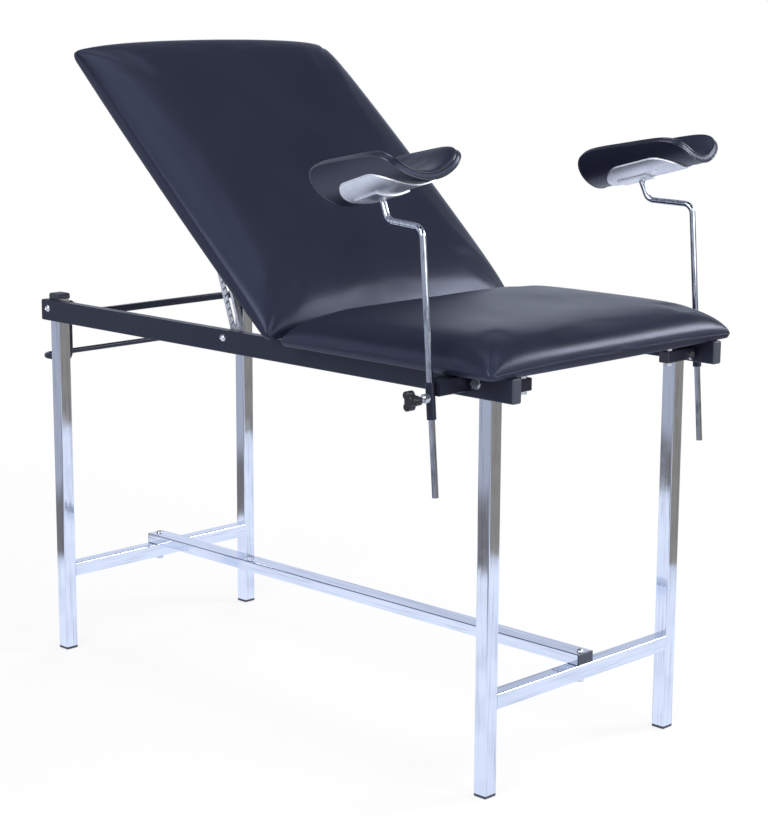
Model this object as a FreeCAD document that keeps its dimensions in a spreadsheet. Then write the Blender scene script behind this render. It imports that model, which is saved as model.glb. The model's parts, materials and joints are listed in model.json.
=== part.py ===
import FreeCAD, Part
import math
import os

import Sketcher

# Gynecological examination table with a ratchet backrest and two legrests.
# Millimetres. +X is the foot end, -Y the near side, +Z up, Z = 0 the floor.

V = FreeCAD.Vector
X_AXIS, Y_AXIS, Z_AXIS = V(1, 0, 0), V(0, 1, 0), V(0, 0, 1)
SIDES = (("near", -1), ("far", 1))

SIZES = (
    # welded and bolted frame
    ("leg_section", 25.4), ("leg_wall", 1.5), ("tube_corner", 2.0),
    ("leg_span_x", 1074), ("leg_span_y", 456),
    ("foot_cap_height", 5), ("plug_depth", 6), ("plug_fit", 0.1),
    ("buffer_height", 10), ("buffer_flare", 2),
    ("rail_height", 38), ("rail_width", 19), ("rail_wall", 1.5), ("rail_top", 677),
    ("rail_head_overhang", 15), ("rail_foot_overhang", 73), ("rail_cap", 3),
    ("cross_top", 167), ("stretcher_cap", 2),
    ("head_bar_section", 12), ("head_bar_wall", 1.2), ("head_bar_inset", 148),
    ("hinge_bar_section", 19), ("hinge_bar_wall", 1.5),
    ("stub_section", 20), ("stub_wall", 1.5), ("stub_drop", 13), ("stub_inner_y", 170), ("stub_cap", 2),
    ("stub_plug_depth", 4),
    # fasteners
    ("bolt_diameter", 8), ("bolt_hole_gap", 0.4), ("running_gap", 0.1),
    ("hex_flats", 13), ("hex_head", 5.3), ("nut_height", 6.5),
    ("dome_diameter", 13), ("dome_height", 4.5), ("socket_flats", 5),
    ("washer_diameter", 17), ("washer_height", 1.6),
    ("head_bolt_offset", 5), ("bolt_drop", 15.5), ("stub_bolt_drop", 25), ("seat_bolt_y", 182),
    ("screw_diameter", 4), ("screw_head", 8), ("screw_head_height", 2),
    # paper roll rod at the head end
    ("paper_rod_diameter", 10), ("paper_rod_reach", 82), ("paper_rod_drop", 119), ("paper_rod_bend", 20),
    ("paper_eye_diameter", 20),
    # seat and backrest upholstery on plywood boards
    ("board_thickness", 12), ("board_inset", 12), ("board_corner", 14),
    ("pad_half_width", 298), ("seat_length", 458), ("seat_foot_overhang", 64), ("seat_hinge_gap", 32),
    ("seat_shoulder", 48), ("seat_crown", 62), ("pad_shoulder_inset", 26), ("pad_draw_in", 3),
    ("pad_corner", 24), ("pad_end_reach", 145),
    ("hinge_gap", 4), ("backrest_overhang", 11), ("backrest_angle", 41.8),
    ("backrest_shoulder", 40), ("backrest_crown", 52),
    # strap hinges under the boards
    ("leaf_thickness", 3), ("leaf_width", 60), ("fixed_leaf_length", 62), ("moving_leaf_length", 78),
    ("hinge_y", 150), ("barrel_diameter", 10), ("hinge_pin_diameter", 6), ("barrel_gap", 0.3),
    ("leaf_screw_reach", 64), ("leaf_screw_y", 18),
    # toothed ratchet struts
    ("strut_pivot_reach", 151), ("strut_pivot_drop", 13), ("strut_angle", 19.3),
    ("strut_width", 25), ("strut_sheet", 2.5), ("strut_flange", 10), ("strut_tail", 14), ("strut_reach", 188),
    ("strut_offset", 13), ("slot_width", 8), ("slot_start", 20), ("slot_end", 178), ("slot_shift", 3),
    ("notch_pitch", 12), ("notch_count", 13), ("notch_width", 5.5), ("notch_depth", 6.5), ("notch_fall", 5),
    ("ratchet_reach", 170), ("ratchet_pin_diameter", 8), ("pin_plate_thickness", 3), ("pin_plate_width", 28),
    ("pin_plate_gap", 1.5), ("pin_end_gap", 0.3), ("pin_flange", 8),
    # legrest arms, clamp sleeves, rods and knobs
    ("arm_section", 25.4), ("arm_wall", 2), ("arm_top_drop", 3.6), ("arm_end_wall", 3), ("arm_bite", 1),
    ("clamp_inset", 28), ("clamp_clearance", 32), ("clamp_drop", 36), ("rod_angle", 4.5),
    ("sleeve_diameter", 14.4), ("sleeve_wall", 1.2), ("sleeve_length", 56), ("weld_gap", 0.05),
    ("liner_length", 16), ("liner_end", 1),
    ("rod_diameter", 10), ("rod_below", 151), ("rod_rise", 252), ("rod_bend", 17),
    ("rod_run", 84), ("rod_run_angle", 6.7), ("rod_neck", 33), ("rod_neck_angle", 20),
    ("legrest_swivel_angle", 9), ("legrest_lift", 4.6),
    ("stud_diameter", 8), ("stud_height", 5), ("boss_length", 9), ("knob_reach", 21), ("knob_thickness", 15),
    ("knob_hub", 9), ("knob_lobe", 6.5), ("knob_lobe_reach", 10), ("knob_hub_length", 6), ("knob_rim", 2),
    # legrest troughs
    ("trough_length", 203), ("trough_radius", 86), ("trough_thickness", 20), ("trough_angle", 15.5),
    ("trough_head_angle", 70), ("trough_foot_angle", 56), ("trough_offset", 23.5), ("seat_gap", 0.3),
    ("plate_thickness", 2), ("plate_length", 143), ("plate_width", 124), ("plate_corner", 42),
    ("strap_thickness", 3), ("strap_length", 58), ("strap_width", 62),
)

doc = FreeCAD.newDocument("ExaminationTable")
sheet = doc.addObject("Spreadsheet::Sheet", "Sizes")
for row, (alias, number) in enumerate(SIZES, start=1):
    sheet.set(f"A{row}", alias)
    sheet.set(f"B{row}", str(number))
    sheet.setAlias(f"B{row}", alias)
doc.recompute()


def size(alias):
    """Value of one cell of the sheet."""
    return float(sheet.get(alias))


# Places worked out from the driving dimensions
half_x = size("leg_span_x") / 2
half_y = size("leg_span_y") / 2
leg_half = size("leg_section") / 2
leg_outer = half_y + leg_half
leg_inner = half_y - leg_half
rail_outer = leg_outer + size("rail_width")
rail_top = size("rail_top")
bolt_z = rail_top - size("bolt_drop")
seat_foot_x = half_x + size("seat_foot_overhang")
seat_head_x = seat_foot_x - size("seat_length")
hinge_x = seat_head_x - size("seat_hinge_gap")
hinge_z = rail_top - size("leaf_thickness")
backrest_reach = half_x + size("rail_head_overhang") + size("backrest_overhang") + hinge_x
backrest_length = backrest_reach - size("hinge_gap")
strut_x = hinge_x - size("strut_pivot_reach")
strut_z = rail_top - size("strut_pivot_drop")
clamp_x = half_x - size("clamp_inset")
clamp_y = size("pad_half_width") + size("clamp_clearance")
clamp_z = rail_top - size("clamp_drop")
stub_x = half_x + leg_half + size("stub_section") / 2
strut_face = leg_outer - size("strut_offset")
# The row origin is the middle of the whole table on the floor
origin_shift = (size("paper_rod_reach") + size("paper_rod_diameter") / 2 - size("rail_foot_overhang")) / 2

# The same places as expressions, for the features that are bound to the sheet
HALF_X = "Sizes.leg_span_x / 2"
HALF_Y = "Sizes.leg_span_y / 2"
LEG_HALF = "Sizes.leg_section / 2"
LEG_OUTER = "(Sizes.leg_span_y + Sizes.leg_section) / 2"
LEG_MIDDLE = "(Sizes.foot_cap_height + Sizes.rail_top) / 2"
RAIL_MIDDLE_X = "(Sizes.rail_foot_overhang - Sizes.rail_head_overhang) / 2"
RAIL_MIDDLE_Z = "Sizes.rail_top - Sizes.rail_height / 2"
RAIL_LENGTH = "Sizes.leg_span_x + Sizes.rail_head_overhang + Sizes.rail_foot_overhang - 2 * Sizes.rail_cap"
BOLT_HOLE = "Sizes.bolt_diameter + Sizes.bolt_hole_gap"
HINGE_Z = "Sizes.rail_top - Sizes.leaf_thickness"
STUB_X = "(Sizes.leg_span_x + Sizes.leg_section + Sizes.stub_section) / 2"
STUB_Z = "Sizes.rail_top - Sizes.stub_drop - Sizes.stub_section / 2"
ORIGIN_SHIFT = "(Sizes.paper_rod_reach + Sizes.paper_rod_diameter / 2 - Sizes.rail_foot_overhang) / 2"
SEAT_HEAD_X = f"({HALF_X} + Sizes.seat_foot_overhang - Sizes.seat_length)"
SEAT_MIDDLE_X = f"({HALF_X} + Sizes.seat_foot_overhang - Sizes.seat_length / 2)"
HINGE_X = f"({SEAT_HEAD_X} - Sizes.seat_hinge_gap)"
HINGE_BAR_X = f"{HINGE_X} + Sizes.fixed_leaf_length - Sizes.hinge_bar_section / 2"
BACKREST_REACH = f"({HALF_X} + Sizes.rail_head_overhang + Sizes.backrest_overhang + {HINGE_X})"
BACKREST_LENGTH = f"({BACKREST_REACH} - Sizes.hinge_gap)"
STRUT_X = f"({HINGE_X} - Sizes.strut_pivot_reach)"
CLAMP_X = f"({HALF_X} - Sizes.clamp_inset)"
CLAMP_Y = "(Sizes.pad_half_width + Sizes.clamp_clearance)"

nodes = []


def keep(feature, label):
    """Names a finished sub-part and lists it for export."""
    feature.Label = label
    nodes.append(feature)
    return feature


def solid_node(label, shape, placement=None):
    """Sub-part whose shape is set directly, then placed."""
    feature = doc.addObject("Part::Feature", label)
    feature.Shape = shape
    own = feature.Placement
    outer = placement or FreeCAD.Placement()
    feature.Placement = at(origin_shift, 0, 0).multiply(outer).multiply(own)
    return keep(feature, label)


def move(feature, x="0", y="0", z="0", turn=None, about=Y_AXIS):
    """Binds a feature's place, and its turn about one axis, to the sheet."""
    feature.Placement = FreeCAD.Placement(V(0, 0, 0), FreeCAD.Rotation(about, 1.0 if turn else 0.0))
    feature.setExpression("Placement.Base.x", f"{x} + {ORIGIN_SHIFT}")
    feature.setExpression("Placement.Base.y", y)
    feature.setExpression("Placement.Base.z", z)
    if turn:
        feature.setExpression("Placement.Rotation.Angle", turn)


def new_body(label):
    """Empty body that carries its node's name."""
    return keep(doc.addObject("PartDesign::Body", label), label)


def new_sketch(body, name, role):
    """Sketch on one of the body's own origin planes."""
    sketch = body.newObject("Sketcher::SketchObject", f"{body.Name}_{name}")
    plane = next(f for f in body.Origin.OriginFeatures if f.Role == role)
    sketch.AttachmentSupport = (plane, [""])
    sketch.MapMode = "FlatFace"
    return sketch


def bind(sketch, constraint, expression):
    """Adds a dimension to a sketch and binds it to the sheet."""
    index = sketch.addConstraint(constraint)
    sketch.setExpression(f"Constraints[{index}]", expression)


def on_circle(radius, count):
    """Points spaced evenly round a circle."""
    turns = [2 * math.pi * k / count for k in range(count)]
    return [V(radius * math.cos(turn), radius * math.sin(turn), 0) for turn in turns]


def polygon(sketch, corners):
    """Closed outline whose corners are (x, y) pairs of expressions."""
    first = sketch.GeometryCount
    count = len(corners)
    ring = on_circle(10, count)
    for k in range(count):
        sketch.addGeometry(Part.LineSegment(ring[k], ring[(k + 1) % count]), False)
    for k in range(count):
        sketch.addConstraint(Sketcher.Constraint("Coincident", first + k, 2, first + (k + 1) % count, 1))
    for k, (x, y) in enumerate(corners):
        bind(sketch, Sketcher.Constraint("DistanceX", -1, 1, first + k, 1, ring[k].x), x)
        bind(sketch, Sketcher.Constraint("DistanceY", -1, 1, first + k, 1, ring[k].y), y)


def rectangle(sketch, width, height, x="0", y="0"):
    """Rectangle about a centre, all as expressions."""
    left, right = f"{x} - ({width}) / 2", f"{x} + ({width}) / 2"
    low, high = f"{y} - ({height}) / 2", f"{y} + ({height}) / 2"
    polygon(sketch, ((left, low), (right, low), (right, high), (left, high)))


def pad(body, sketch, length, both_ways=False, backwards=False):
    """Extrudes a sketch by an expression."""
    feature = body.newObject("PartDesign::Pad", f"{sketch.Name}_pad")
    feature.Profile = sketch
    feature.Midplane = both_ways
    feature.Reversed = backwards
    feature.setExpression("Length", length)
    doc.recompute()
    return feature


def cut_through(body, sketch):
    """Pockets a sketch through the whole body, both ways."""
    feature = body.newObject("PartDesign::Pocket", f"{sketch.Name}_pocket")
    feature.Profile = sketch
    feature.Type = 1
    feature.Midplane = True
    doc.recompute()
    return feature


def drill(body, name, role, diameter, *centres):
    """Round through holes square to one origin plane."""
    sketch = new_sketch(body, name, role)
    for x, y in centres:
        hole = sketch.addGeometry(Part.Circle(V(0, 0, 0), Z_AXIS, 3.0), False)
        bind(sketch, Sketcher.Constraint("DistanceX", -1, 1, hole, 3, 0.0), x)
        bind(sketch, Sketcher.Constraint("DistanceY", -1, 1, hole, 3, 0.0), y)
        bind(sketch, Sketcher.Constraint("Diameter", hole, 6.0), diameter)
    return cut_through(body, sketch)


def round_long_edges(body, feature, radius, axis):
    """Fillets the outermost edges that run along one axis."""
    def offset(edge):
        middle = edge.CenterOfMass
        return (middle - axis * middle.dot(axis)).Length

    along = [
        (offset(edge), f"Edge{number}")
        for number, edge in enumerate(feature.Shape.Edges, start=1)
        if abs(abs((edge.Vertexes[-1].Point - edge.Vertexes[0].Point).dot(axis)) - edge.Length) < 1e-6
    ]
    reach = max(distance for distance, _ in along)
    fillet = body.newObject("PartDesign::Fillet", f"{feature.Name}_fillet")
    fillet.Base = (feature, [name for distance, name in along if distance > reach - 1e-4])
    fillet.setExpression("Radius", radius)
    doc.recompute()
    return fillet


PLANE_AXES = {"XY_Plane": Z_AXIS, "XZ_Plane": Y_AXIS, "YZ_Plane": X_AXIS}


def box_tube(label, role, width, height, wall, length):
    """Rectangular tube along the normal of a plane, centred on its own origin."""
    body = new_body(label)
    sketch = new_sketch(body, "section", role)
    rectangle(sketch, width, height)
    rectangle(sketch, f"{width} - 2 * {wall}", f"{height} - 2 * {wall}")
    tube = pad(body, sketch, length, both_ways=True)
    round_long_edges(body, tube, "Sizes.tube_corner", PLANE_AXES[role])
    return body


def at(x, y, z, axis=Z_AXIS, direction=Z_AXIS):
    """Placement that turns one direction onto another and moves it."""
    return FreeCAD.Placement(V(x, y, z), FreeCAD.Rotation(axis, direction))


def hexagon(flats, height):
    """Hexagonal prism on Z = 0."""
    corners = on_circle(flats / math.sqrt(3), 6)
    return Part.Face(Part.makePolygon([*corners, corners[0]])).extrude(V(0, 0, height))


def hex_bolt(length):
    """Hexagon bolt: head above Z = 0, shank below."""
    shank = Part.makeCylinder(size("bolt_diameter") / 2, length, V(0, 0, -length))
    return hexagon(size("hex_flats"), size("hex_head")).fuse(shank).removeSplitter()


def dome_bolt(length):
    """Domed bolt with a hexagon socket: head above Z = 0, shank below."""
    radius, height = size("dome_diameter") / 2, size("dome_height")
    ball = (radius ** 2 + height ** 2) / (2 * height)
    cap = Part.makeSphere(ball, V(0, 0, height - ball)).common(Part.makeCylinder(radius + 1, height))
    socket = hexagon(size("socket_flats"), height)
    socket.translate(V(0, 0, height / 2))
    shank = Part.makeCylinder(size("bolt_diameter") / 2, length, V(0, 0, -length))
    return cap.cut(socket).fuse(shank).removeSplitter()


def nut(height, bore):
    """Hexagon nut on Z = 0."""
    return hexagon(size("hex_flats"), height).cut(Part.makeCylinder(bore / 2, height))


def ring(outer, inner, height):
    """Plain ring on Z = 0."""
    return Part.makeCylinder(outer / 2, height).cut(Part.makeCylinder(inner / 2, height))


def placed(shape, placement):
    """Copy of a shape at a placement."""
    copy = shape.copy()
    copy.Placement = placement
    return copy


def tube_plug(width, height, wall, cap, corner, depth=size("plug_depth")):
    """End plug: a cap below Z = 0 with a chamfered rim and a plug above, inside the tube."""
    plate = Part.makeBox(width, height, cap, V(-width / 2, -height / 2, -cap))
    upright = [e for e in plate.Edges if abs(e.Vertexes[0].Z - e.Vertexes[-1].Z) > cap / 2]
    plate = plate.makeFillet(corner, upright)
    rim = [e for e in plate.Edges if e.BoundBox.ZMax < -cap + 1e-6]
    plate = plate.makeChamfer(min(corner, cap) * 0.6, rim)
    inner_w = width - 2 * (wall + size("plug_fit"))
    inner_h = height - 2 * (wall + size("plug_fit"))
    stem = Part.makeBox(inner_w, inner_h, depth, V(-inner_w / 2, -inner_h / 2, 0))
    return plate.fuse(stem).removeSplitter()


def bent_path(points, radius):
    """Straight runs through the points, joined by tangent arcs of one radius."""
    edges = []
    start = points[0]
    for before, corner, after in zip(points, points[1:], points[2:]):
        inward = (corner - before).normalize()
        outward = (after - corner).normalize()
        half = inward.getAngle(outward) / 2
        reach = radius * math.tan(half)
        into, out_of = corner - inward * reach, corner + outward * reach
        middle = corner + (outward - inward).normalize() * (radius / math.cos(half) - radius)
        edges += [Part.LineSegment(start, into).toShape(), Part.Arc(into, middle, out_of).toShape()]
        start = out_of
    edges.append(Part.LineSegment(start, points[-1]).toShape())
    return Part.Wire(edges)


def round_bar(path, diameter):
    """Round bar along a path."""
    begin = path.Edges[0]
    direction = begin.tangentAt(begin.FirstParameter)
    section = Part.Wire([Part.Circle(begin.Vertexes[0].Point, direction, diameter / 2).toShape()])
    return path.makePipeShell([section], True, False)


def cushion(length, half_width, shoulder, crown):
    """Crowned pad on Z = 0 from X = 0 to X = length, lofted through closed sections.

    Each section is a flat bottom, two side arcs that draw in towards the bottom and one crowned top arc.
    """
    draw, inset = size("pad_draw_in"), size("pad_shoulder_inset")
    corner, soft = size("pad_corner"), size("pad_end_reach")
    end_shares = ((0, 1, 0.50), (0.03, 0.5, 0.68), (0.1, 0.17, 0.85), (0.23, 0.03, 0.94),
                  (0.5, 0, 0.98), (1, 0, 0.995))
    end_stations = [(along * soft, narrow * corner, share) for along, narrow, share in end_shares]
    stations = [*end_stations, (length / 2, 0, 1.0)]
    stations += [(length - x, narrower, share) for x, narrower, share in reversed(end_stations)]
    wires = []
    for x, narrower, share in stations:
        w = half_width - narrower
        side, top = shoulder * share, crown * share
        low_l, low_r = V(x, -w + draw, 0), V(x, w - draw, 0)
        high_l, high_r = V(x, -w + inset, side), V(x, w - inset, side)
        wires.append(Part.Wire([
            Part.LineSegment(low_l, low_r).toShape(),
            Part.Arc(low_r, V(x, w, side * 0.45), high_r).toShape(),
            Part.Arc(high_r, V(x, 0, top), high_l).toShape(),
            Part.Arc(high_l, V(x, -w, side * 0.45), low_l).toShape(),
        ]))
    return Part.makeLoft(wires, True, False)


def board_block(length, half_width, x):
    """Plain plywood board with rounded corners, for the seat of its pad."""
    block = Part.makeBox(length, 2 * half_width, size("board_thickness"), V(x, -half_width, 0))
    upright = [e for e in block.Edges if abs(e.Vertexes[0].Z - e.Vertexes[-1].Z) > 1]
    return block.makeFillet(size("board_corner"), upright)


def plywood_board(label, length, width):
    """Board with rounded corners, standing on its own XY plane about its centre."""
    body = new_body(label)
    sketch = new_sketch(body, "outline", "XY_Plane")
    rectangle(sketch, length, width)
    round_long_edges(body, pad(body, sketch, "Sizes.board_thickness"), "Sizes.board_corner", Z_AXIS)
    return body


def leg(label, x_sign, y_sign):
    """One chromed leg with the holes for its rail and stub bolts."""
    body = box_tube(label, "XY_Plane", "Sizes.leg_section", "Sizes.leg_section", "Sizes.leg_wall",
                    "Sizes.rail_top - Sizes.foot_cap_height")
    bolt_height = f"Sizes.rail_top - Sizes.bolt_drop - {LEG_MIDDLE}"
    if x_sign < 0:
        drill(body, "rail_bolt", "XZ_Plane", BOLT_HOLE, ("Sizes.head_bolt_offset", bolt_height))
    else:
        stub_height = f"Sizes.rail_top - Sizes.stub_bolt_drop - {LEG_MIDDLE}"
        drill(body, "rail_bolt", "XZ_Plane", BOLT_HOLE, ("0", bolt_height))
        drill(body, "stub_bolt", "YZ_Plane", BOLT_HOLE, ("0", stub_height))
    move(body, f"{x_sign} * {HALF_X}", f"{y_sign} * {HALF_Y}", LEG_MIDDLE)


def frame_tubes():
    """Legs, stretchers, rails, cross bars and the stub bars under the seat."""
    for side, y_sign in SIDES:
        leg(f"{side}_head_leg", -1, y_sign)
        leg(f"{side}_foot_leg", 1, y_sign)

    for end, x_sign in (("head", -1), ("foot", 1)):
        cross = box_tube(f"{end}_cross_stretcher", "XZ_Plane", "Sizes.leg_section", "Sizes.leg_section",
                         "Sizes.leg_wall", "Sizes.leg_span_y - Sizes.leg_section")
        drill(cross, "bolt", "XY_Plane", BOLT_HOLE, ("0", "0"))
        move(cross, f"{x_sign} * {HALF_X}", "0", f"Sizes.cross_top - {LEG_HALF}")

    long_bar = box_tube("long_stretcher", "YZ_Plane", "Sizes.rail_height", "Sizes.rail_width",
                        "Sizes.rail_wall", "Sizes.leg_span_x + Sizes.leg_section - 2 * Sizes.stretcher_cap")
    drill(long_bar, "bolts", "XY_Plane", BOLT_HOLE, (f"-{HALF_X}", "0"), (HALF_X, "0"))
    move(long_bar, "0", "0", "Sizes.cross_top + Sizes.rail_width / 2")

    for side, y_sign in SIDES:
        rail = box_tube(f"{side}_rail", "YZ_Plane", "Sizes.rail_width", "Sizes.rail_height",
                        "Sizes.rail_wall", RAIL_LENGTH)
        bolt_height = "Sizes.rail_height / 2 - Sizes.bolt_drop"
        head_x = f"Sizes.head_bolt_offset - {HALF_X} - {RAIL_MIDDLE_X}"
        drill(rail, "bolts", "XZ_Plane", BOLT_HOLE,
              (head_x, bolt_height),
              (f"{HALF_X} - {RAIL_MIDDLE_X}", bolt_height),
              (f"{STRUT_X} - {RAIL_MIDDLE_X}", "Sizes.rail_height / 2 - Sizes.strut_pivot_drop"))
        move(rail, RAIL_MIDDLE_X, f"{y_sign} * ({LEG_OUTER} + Sizes.rail_width / 2)", RAIL_MIDDLE_Z)

    head_bar = box_tube("head_cross_bar", "XZ_Plane", "Sizes.head_bar_section", "Sizes.head_bar_section",
                        "Sizes.head_bar_wall", f"2 * {LEG_OUTER}")
    move(head_bar, f"Sizes.head_bar_inset - {HALF_X}", "0", "Sizes.rail_top - Sizes.head_bar_section / 2")

    hinge_section = "Sizes.hinge_bar_section"
    hinge_bar = box_tube("hinge_cross_bar", "XZ_Plane", hinge_section, hinge_section,
                         "Sizes.hinge_bar_wall", f"2 * {LEG_OUTER}")
    move(hinge_bar, HINGE_BAR_X, "0", f"{HINGE_Z} - {hinge_section} / 2")

    stub_from = "(Sizes.stub_inner_y + Sizes.stub_cap)"
    for side, y_sign in SIDES:
        stub = box_tube(f"{side}_stub_bar", "XZ_Plane", "Sizes.stub_section", "Sizes.stub_section",
                        "Sizes.stub_wall", f"{LEG_OUTER} - {stub_from}")
        middle = f"({LEG_OUTER} + {stub_from}) / 2"
        drill(stub, "leg_bolt", "YZ_Plane", BOLT_HOLE,
              (f"{y_sign} * ({HALF_Y} - {middle})", f"Sizes.rail_top - Sizes.stub_bolt_drop - ({STUB_Z})"))
        drill(stub, "seat_bolt", "XY_Plane", BOLT_HOLE, ("0", f"{y_sign} * (Sizes.seat_bolt_y - {middle})"))
        move(stub, STUB_X, f"{y_sign} * {middle}", STUB_Z)


def frame_plugs():
    """Plastic feet, buffers and end caps of the tubes."""
    section, wall, corner = size("leg_section"), size("leg_wall"), size("tube_corner")
    foot = tube_plug(section, section, wall, size("foot_cap_height"), corner)
    corners = [(x, y) for x in (-half_x, half_x) for y in (-half_y, half_y)]
    solid_node("leg_feet", Part.Compound(
        [placed(foot, at(x, y, size("foot_cap_height"))) for x, y in corners]))

    flared = section + 2 * size("buffer_flare")
    buffer = tube_plug(flared, flared, wall + size("buffer_flare"), size("buffer_height"), corner * 2)
    solid_node("head_leg_buffers", Part.Compound(
        [placed(buffer, at(-half_x, y, rail_top, Z_AXIS, -Z_AXIS)) for y in (-half_y, half_y)]))

    tall, wide, rail_wall = size("rail_height"), size("rail_width"), size("rail_wall")
    cap = tube_plug(tall, wide, rail_wall, size("rail_cap"), corner * 1.5)
    cap.rotate(V(0, 0, 0), Y_AXIS, 90)
    rail_y, rail_z = leg_outer + wide / 2, rail_top - tall / 2
    head_x = -half_x - size("rail_head_overhang") + size("rail_cap")
    foot_x = half_x + size("rail_foot_overhang") - size("rail_cap")
    solid_node("rail_end_caps", Part.Compound([
        turned
        for y in (-rail_y, rail_y)
        for turned in (moved(cap, head_x, y, rail_z, 0), moved(cap, foot_x, y, rail_z, 180))]))

    flat = tube_plug(wide, tall, rail_wall, size("stretcher_cap"), corner)
    flat.rotate(V(0, 0, 0), Y_AXIS, 90)
    end_x = half_x + leg_half - size("stretcher_cap")
    bar_z = size("cross_top") + wide / 2
    solid_node("stretcher_end_plugs", Part.Compound(
        [moved(flat, -end_x, 0, bar_z, 0), moved(flat, end_x, 0, bar_z, 180)]))

    stub, stub_cap = size("stub_section"), size("stub_cap")
    inner = tube_plug(stub, stub, size("stub_wall"), stub_cap, corner, size("stub_plug_depth"))
    inner.rotate(V(0, 0, 0), X_AXIS, -90)
    stub_z = rail_top - size("stub_drop") - stub / 2
    inner_y = size("stub_inner_y") + stub_cap
    solid_node("stub_bar_plugs", Part.Compound(
        [moved(inner, stub_x, -inner_y, stub_z, 180), moved(inner, stub_x, inner_y, stub_z, 0)]))


def moved(shape, x, y, z, turn):
    """Copy of a shape turned about Z and moved."""
    copy = shape.copy()
    copy.rotate(V(0, 0, 0), Z_AXIS, turn)
    copy.translate(V(x, y, z))
    return copy


def fasteners():
    """Bolts, nuts and washers that hold the frame together."""
    eye = size("paper_rod_diameter")
    nut_h, bore = size("nut_height"), size("bolt_diameter") + size("bolt_hole_gap")
    stack = size("rail_width") + size("leg_section")
    head_length = stack + eye + nut_h
    foot_length = stack + nut_h
    washer_h = size("washer_height")
    head_x = -half_x + size("head_bolt_offset")

    head_bolts, foot_bolts, washers, nuts = [], [], [], []
    for _, y_sign in SIDES:
        outward = V(0, y_sign, 0)
        head_bolts.append(placed(dome_bolt(head_length),
                                 at(head_x, y_sign * rail_outer, bolt_z, Z_AXIS, outward)))
        washers.append(placed(ring(size("washer_diameter"), bore, washer_h),
                              at(half_x, y_sign * rail_outer, bolt_z, Z_AXIS, outward)))
        foot_bolts.append(placed(hex_bolt(foot_length + washer_h),
                                 at(half_x, y_sign * (rail_outer + washer_h), bolt_z, Z_AXIS, outward)))
        nuts.append(placed(nut(nut_h, bore),
                           at(head_x, y_sign * (leg_inner - eye), bolt_z, Z_AXIS, -outward)))
        nuts.append(placed(nut(nut_h, bore), at(half_x, y_sign * leg_inner, bolt_z, Z_AXIS, -outward)))
    solid_node("head_rail_bolts", Part.Compound(head_bolts))
    solid_node("foot_rail_bolts", Part.Compound(foot_bolts))
    solid_node("rail_washers", Part.Compound(washers))

    stub_bolt_z = rail_top - size("stub_bolt_drop")
    stub_face = half_x + leg_half + size("stub_section")
    stub_length = size("stub_section") + size("leg_section") + nut_h
    solid_node("stub_bar_bolts", Part.Compound(
        [placed(hex_bolt(stub_length), at(stub_face, y, stub_bolt_z, Z_AXIS, X_AXIS))
         for y in (-half_y, half_y)]))
    nuts += [placed(nut(nut_h, bore), at(half_x - leg_half, y, stub_bolt_z, Z_AXIS, -X_AXIS))
             for y in (-half_y, half_y)]

    stub_top = rail_top - size("stub_drop")
    stub_low = stub_top - size("stub_section")
    fixing_length = size("stub_section") + size("stub_drop") + size("board_thickness") * 0.8
    seat_y = size("seat_bolt_y")
    solid_node("seat_fixing_bolts", Part.Compound(
        [placed(hex_bolt(fixing_length), at(stub_x, y, stub_low, Z_AXIS, -Z_AXIS))
         for y in (-seat_y, seat_y)]))
    solid_node("seat_spacers", Part.Compound(
        [placed(nut(size("stub_drop"), bore), at(stub_x, y, stub_top)) for y in (-seat_y, seat_y)]))

    bar_top = size("cross_top") + size("rail_width")
    cross_low = size("cross_top") - size("leg_section")
    solid_node("stretcher_bolts", Part.Compound(
        [placed(dome_bolt(stack + nut_h), at(x, 0, bar_top)) for x in (-half_x, half_x)]))
    nuts += [placed(nut(nut_h, bore), at(x, 0, cross_low, Z_AXIS, -Z_AXIS)) for x in (-half_x, half_x)]

    spacer = size("strut_offset") - size("barrel_gap")
    pivot_length = sum(map(size, ("rail_width", "strut_offset", "strut_sheet", "barrel_gap", "nut_height")))
    bolts, spacers = [], []
    for _, y_sign in SIDES:
        outward = V(0, y_sign, 0)
        inner_face = strut_face - size("strut_sheet") - size("barrel_gap")
        bolts.append(placed(dome_bolt(pivot_length),
                            at(strut_x, y_sign * rail_outer, strut_z, Z_AXIS, outward)))
        spacers.append(placed(ring(size("dome_diameter"), bore, spacer),
                              at(strut_x, y_sign * leg_outer, strut_z, Z_AXIS, -outward)))
        nuts.append(placed(nut(nut_h, bore), at(strut_x, y_sign * inner_face, strut_z, Z_AXIS, -outward)))
    solid_node("strut_pivot_bolts", Part.Compound(bolts))
    solid_node("strut_spacers", Part.Compound(spacers))
    solid_node("frame_nuts", Part.Compound(nuts))


def paper_roll_rod():
    """Bent rod that carries a paper roll beyond the head legs, hung by eyes on the head rail bolts."""
    diameter = size("paper_rod_diameter")
    arm_y = leg_inner - diameter / 2
    head_x = -half_x + size("head_bolt_offset")
    end_x, low_z = -half_x - size("paper_rod_reach"), rail_top - size("paper_rod_drop")
    points = [V(head_x, -arm_y, bolt_z), V(head_x, -arm_y, low_z), V(end_x, -arm_y, low_z),
              V(end_x, arm_y, low_z), V(head_x, arm_y, low_z), V(head_x, arm_y, bolt_z)]
    rod = round_bar(bent_path(points, size("paper_rod_bend")), diameter)
    bore = (size("bolt_diameter") + size("bolt_hole_gap")) / 2
    for y in (-arm_y, arm_y):
        eye = Part.makeCylinder(size("paper_eye_diameter") / 2, diameter,
                                V(head_x, y - diameter / 2, bolt_z), Y_AXIS)
        hole = Part.makeCylinder(bore, 3 * diameter, V(head_x, y - 1.5 * diameter, bolt_z), Y_AXIS)
        rod = rod.fuse(eye).cut(hole)
    solid_node("paper_roll_rod", rod)


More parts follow.
